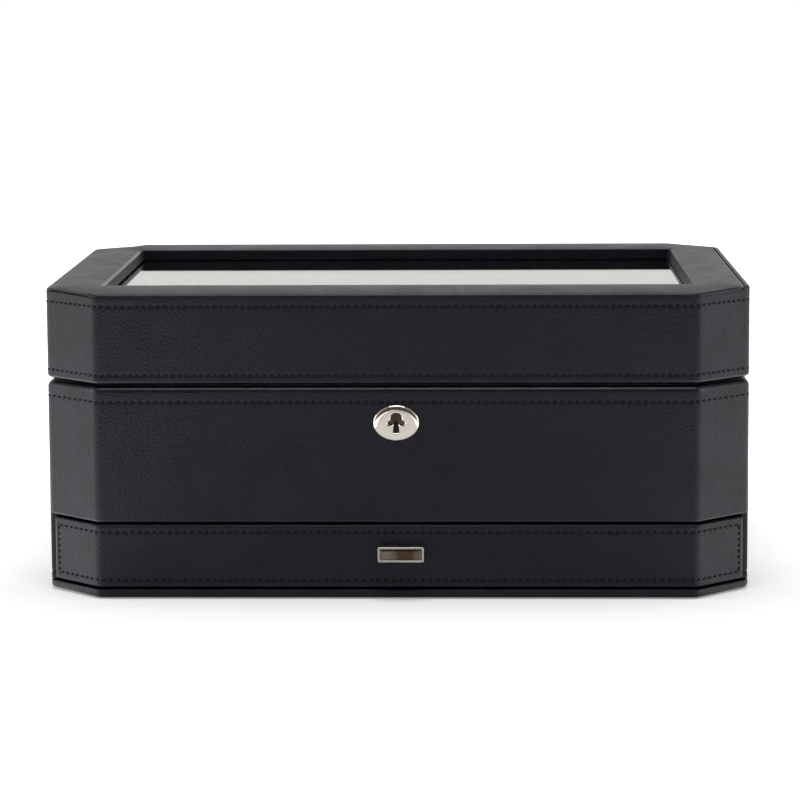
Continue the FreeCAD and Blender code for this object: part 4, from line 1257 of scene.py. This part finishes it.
class WATCHBOX_OT_stitching(bpy.types.Operator):
    """Sews the rows round the lid and the body"""

    bl_idname = "watchbox.stitching"
    bl_label = "Stitching"

    def execute(self, context):
        look = settings().leather
        thread = thread_of(look)
        line = plan_outline(look.lid_pitch)
        rows = [band_threads(line, level, SUNK, look) for level in LID_ROWS]
        make_piece("lid_stitching", merged(rows), "lid", "black_leather", thread)
        line = plan_outline(look.pitch)
        rows = [band_threads(line, BODY_ROW, SUNK, look), skirt_threads(look)]
        make_piece("body_stitching", merged(rows), "case", "black_leather", thread)
        return {"FINISHED"}


class WATCHBOX_OT_metalwork(bpy.types.Operator):
    """Makes the escutcheon and the pull, and plates the hinges, the lock and the screws"""

    bl_idname = "watchbox.metalwork"
    bl_label = "Metalwork"

    def execute(self, context):
        look = settings().metal
        nickel, steel, plate, brass, satin, drum = (
            metal(name, getattr(look, colour), *finish)
            for name, (colour, *finish) in METALS.items())
        make_piece("escutcheon_dome", escutcheon_dome(), "case", "polished_nickel", nickel,
                   ["escutcheon"])
        make_piece("lock_drum", lock_drum(), "case", "lock_brass", drum)
        make_piece("pull_bar", pull_bar(), "drawer", "polished_nickel", satin, ["drawer_pull"])
        make_piece("pull_face", pull_face(), "drawer", "polished_nickel", brushed_face(look))
        finish_nodes(nickel, "hinge_body_leaves", "hinge_lid_leaves", "hinge_pins")
        finish_nodes(plate, "lock_faceplate", "link_plate")
        finish_nodes(brass, "lock_bolt", "lock_case")
        finish_nodes(steel, "rim_screws", "lid_screws", "lock_screws", "pull_screws")
        return {"FINISHED"}


class WATCHBOX_OT_glazing(bpy.types.Operator):
    """Glazes the window"""

    bl_idname = "watchbox.glazing"
    bl_label = "Window glass"

    def execute(self, context):
        finish_nodes(clear_glass(), "glass_pane")
        return {"FINISHED"}


class WATCHBOX_OT_lining(bpy.types.Operator):
    """Covers the liner boards and dividers in suede and lines the floor, the lid and the drawer"""

    bl_idname = "watchbox.lining"
    bl_label = "Suede lining"

    def execute(self, context):
        look = settings().lining
        cover = suede("Suede boards", look.colour)
        finish = "case", "suede_board", cover
        for node in ("front_liner", "back_liner", "left_liner", "right_liner", "long_divider"):
            board = rounded_block(*node_box(node), look.edge)
            make_piece(node + "_cover", board, *finish, [node])
        make_piece("cross_divider_covers", self.cross_boards(look.edge), *finish,
                   ["cross_dividers"])
        sheets = suede("Suede sheets", look.colour, fibre=1300.0)
        finish_nodes(sheets, "floor_lining", "drawer_lining", "lid_lining")
        finish_nodes(cover, "rim_ledge", "glass_retainer")
        return {"FINISHED"}

    def cross_boards(self, edge):
        """Four boards across, each in two halves that run a little into the long divider."""
        count, overlap = 4, 0.2 * MM
        thick = np.ptp(node_box("long_divider")[:, 1]) / 2
        low, high = node_box("cross_dividers")
        boards = []
        for x in np.linspace(low[0] + thick, high[0] - thick, count):
            for near, far in ((low[1], overlap - thick), (thick - overlap, high[1])):
                corners = np.array([(x - thick, near, low[2]), (x + thick, far, high[2])])
                boards.append(rounded_block(*corners, edge))
        return merged(boards)


class WATCHBOX_OT_cushions(bpy.types.Operator):
    """Stuffs one watch cushion as cloth under pressure and sets it in all ten places"""

    bl_idname = "watchbox.cushions"
    bl_label = "Watch cushions"

    def execute(self, context):
        look = settings().lining
        cover = suede("Cushion suede", look.cushion, fibre=1700.0, sheen=0.18)
        low, high = node_box("watch_cushion_1")
        pattern = make_piece("watch_pillow_1", cushion_form(low, high), "cushion_1",
                             "cushion_suede", cover, ["watch_cushion_1"])
        swollen(pattern, low, high, look.swell)
        mesh = pattern.data
        mesh.polygons.foreach_set("use_smooth", np.ones(len(mesh.polygons), bool))
        mesh.materials.clear()
        mesh.materials.append(cover)
        first = mesh_points(mesh)
        for number in range(2, 11):
            node = "watch_cushion_%d" % number
            copy = mesh.copy()
            move_points(copy, first + node_box(node)[0] - low)
            piece = place_piece("watch_pillow_%d" % number, copy, "cushion_%d" % number,
                                "cushion_suede", cover, [node])
        return {"FINISHED"}


class WATCHBOX_OT_boards(bpy.types.Operator):
    """Stains the boards of the carcass, the lid and the drawer, and lays the felt"""

    bl_idname = "watchbox.boards"
    bl_label = "Boards and felt"

    def execute(self, context):
        board = stained_board("Stained board", colour=(0.020, 0.018, 0.017),
                              stretch=(240.0, 240.0, 700.0), contrast=0.35)
        wood = stained_board("Drawer wood", colour=(0.050, 0.034, 0.024),
                             stretch=(60.0, 60.0, 1400.0), contrast=0.45)
        felt = suede("Base felt", colour=(0.030, 0.030, 0.032), fibre=900.0)
        walls = ["%s_wall" % side for side in ("front", "back", "left", "right")]
        finish_nodes(board, *walls, *["lid_" + wall for wall in walls], "corner_posts",
                     "lid_corner_posts", "lid_top_frame", "base_board", "compartment_floor",
                     "drawer_front", "drawer_guides", "drawer_stop")
        finish_nodes(wood, "drawer_sides", "drawer_back", "drawer_bottom")
        finish_nodes(felt, "base_felt")
        return {"FINISHED"}


class WATCHBOX_OT_stage(bpy.types.Operator):
    """Sets the camera, the white room, the floor and the lamps"""

    bl_idname = "watchbox.stage"
    bl_label = "Stage"

    def execute(self, context):
        look = settings().stage
        scene = context.scene
        scene.view_settings.view_transform = "Standard"
        camera = bpy.data.objects.new("camera", bpy.data.cameras.new("camera"))
        scene.collection.objects.link(camera)
        camera.data.lens = look.lens
        camera.data.shift_x, camera.data.shift_y = CAMERA_SHIFT
        camera.location = CAMERA_PLACE
        camera.rotation_euler = [math.radians(angle) for angle in CAMERA_TURN]
        scene.camera = camera
        self.room(look)
        self.floor(look)
        for name, size, place, target in LAMPS:
            self.lamp(name, getattr(look, name), size, place, target)
        return {"FINISHED"}

    def room(self, look):
        """White all round, dimmer overhead in reflections, with an unlit part above the floor
        behind the camera."""
        world = bpy.data.worlds.new("room")
        world.use_nodes = True
        bpy.context.scene.world = world
        tree = world.node_tree
        front_fade, floor_fade = (-0.995, -0.50), (-0.06, 0.06)
        upper_fade, ceiling_fade = (0.55, 0.85), (0.30, 0.65)
        direction = put(tree, "ShaderNodeTexCoord")["Generated"]
        axes = put(tree, "ShaderNodeSeparateXYZ", {0: direction})
        ahead = spread(tree, axes["Y"], *front_fade, 1.0, 0.0)
        above = spread(tree, axes["Z"], *floor_fade, 0.0, 1.0)
        below = spread(tree, axes["Z"], *upper_fade, 1.0, 0.0)
        unlit = times(tree, times(tree, ahead, above), below)
        level = spread(tree, unlit, 0.0, 1.0, 1.0, look.shade)
        path = put(tree, "ShaderNodeLightPath")
        camera, mirrored = path["Is Camera Ray"], path["Is Glossy Ray"]
        seen = sums(tree, "MAXIMUM", camera, path["Is Transmission Ray"])
        overhead = spread(tree, axes["Z"], *ceiling_fade, 1.0, look.ceiling)
        overhead = sums(tree, "MAXIMUM", overhead, sums(tree, "SUBTRACT", 1.0, mirrored))
        room = times(tree, times(tree, level, overhead),
                     spread(tree, mirrored, 0.0, 1.0, look.ambient, 1.0))
        cast = mixed(tree, unlit, WARM_WHITE, UNLIT_TINT)
        feed(tree, tree.nodes["Background"].inputs, {
            "Strength": sums(tree, "MAXIMUM", room, seen),
            "Color": mixed(tree, camera, cast, WHITE)})

    def floor(self, look):
        """A wide pale floor. Its own light lifts it to white away from the box for the camera, and
        brightens it on both sides of the box in reflections, as white cards would."""
        mesh = bpy.data.meshes.new("floor")
        corners = [(x, y, 0) for x, y in rectangle(FLOOR_REACH, FLOOR_REACH)]
        mesh.from_pydata(corners, [], [(0, 1, 2, 3)])
        floor = bpy.data.objects.new("floor", mesh)
        bpy.context.scene.collection.objects.link(floor)
        material, tree, shader, place = start_material("Floor")
        tone = noise(tree, place, 3.0, 1.0)["Fac"]
        path = put(tree, "ShaderNodeLightPath")
        axes = put(tree, "ShaderNodeSeparateXYZ", {0: place})
        aside, before = (sums(tree, "SUBTRACT", sums(tree, "ABSOLUTE", axes[axis], 0.0), half)
                         for axis, half in (("X", HALF_X), ("Y", HALF_Y)))
        away_fade, front_fade, near_glow = (0.01, 0.14), (-0.14, 0.0), (0.17, 0.43)
        inner_fade, outer_fade, middle_fade = (-0.03, 0.0), (0.3, 0.7), (-0.1, 0.1)
        away = spread(tree, sums(tree, "MAXIMUM", aside, before), *away_fade, 0.0, 1.0)
        beside = spread(tree, axes["Y"], *front_fade, *near_glow)
        white = sums(tree, "MAXIMUM", beside, away)
        strip = times(tree, spread(tree, aside, *inner_fade, 0.0, 1.0),
                      spread(tree, aside, *outer_fade, 1.0, 0.0))
        card = times(tree, strip,
                     spread(tree, axes["X"], *middle_fade, look.left_card, look.right_card))
        glow = sums(tree, "ADD", times(tree, path["Is Camera Ray"], white),
                    times(tree, path["Is Glossy Ray"], card))
        feed(tree, shader, {
            "Base Color": mixed(tree, tone, scaled(look.floor, 0.99), scaled(look.floor, 1.01)),
            "Roughness": 0.9,
            "Specular IOR Level": 0.1,
            "Emission Color": WHITE,
            "Emission Strength": glow})
        mesh.materials.append(material)

    def lamp(self, name, power, size, place, target):
        """A square soft lamp that faces a point."""
        light = bpy.data.lights.new(name, "AREA")
        light.energy, light.size = power, size
        lamp = bpy.data.objects.new(name, light)
        bpy.context.scene.collection.objects.link(lamp)
        lamp.location = place
        x, y, z = np.subtract(target, place)
        lamp.rotation_euler = (math.atan2(np.hypot(x, y), -z), 0, math.atan2(-x, y))
        lamp.visible_camera = False


class WATCHBOX_PT_panel(bpy.types.Panel):
    """Lists the pieces of the watch box and their settings"""

    bl_idname = "WATCHBOX_PT_panel"
    bl_label = "Watch box"
    bl_space_type = "VIEW_3D"
    bl_region_type = "UI"
    bl_category = "Watch box"

    def draw(self, context):
        for group in (settings().leather, settings().lining, settings().metal, settings().stage):
            box = self.layout.box()
            for name in group.bl_rna.properties.keys():
                if name not in ("rna_type", "name"):
                    box.prop(group, name)
        for operator in OPERATORS:
            self.layout.operator(operator.bl_idname)


class WatchBoxSettings(bpy.types.PropertyGroup):
    """All the settings of the watch box"""

    leather: PointerProperty(
        type=WatchBoxLeather, name="Leather", description="Leather and stitching")
    lining: PointerProperty(
        type=WatchBoxLining, name="Lining", description="Suede and cushions")
    metal: PointerProperty(
        type=WatchBoxMetal, name="Metal", description="Nickel, steel and brass")
    stage: PointerProperty(
        type=WatchBoxStage, name="Stage", description="Camera, floor and light")


GROUPS = (WatchBoxLeather, WatchBoxLining, WatchBoxMetal, WatchBoxStage, WatchBoxSettings)
OPERATORS = (
    WATCHBOX_OT_boards, WATCHBOX_OT_lid_leather, WATCHBOX_OT_body_leather,
    WATCHBOX_OT_drawer_leather, WATCHBOX_OT_stitching, WATCHBOX_OT_metalwork,
    WATCHBOX_OT_glazing, WATCHBOX_OT_lining, WATCHBOX_OT_cushions, WATCHBOX_OT_stage,
)
CLASSES = GROUPS + OPERATORS + (WATCHBOX_PT_panel,)


def register():
    for item in CLASSES:
        bpy.utils.register_class(item)
    bpy.types.Scene.watch_box = PointerProperty(type=WatchBoxSettings)


def unregister():
    del bpy.types.Scene.watch_box
    for item in reversed(CLASSES):
        bpy.utils.unregister_class(item)


def main():
    register()
    bpy.ops.watchbox.boards()
    bpy.ops.watchbox.lid_leather()
    bpy.ops.watchbox.body_leather()
    bpy.ops.watchbox.drawer_leather()
    bpy.ops.watchbox.stitching()
    bpy.ops.watchbox.metalwork()
    bpy.ops.watchbox.glazing()
    bpy.ops.watchbox.lining()
    bpy.ops.watchbox.cushions()
    bpy.ops.watchbox.stage()


if __name__ == "__main__":
    main()
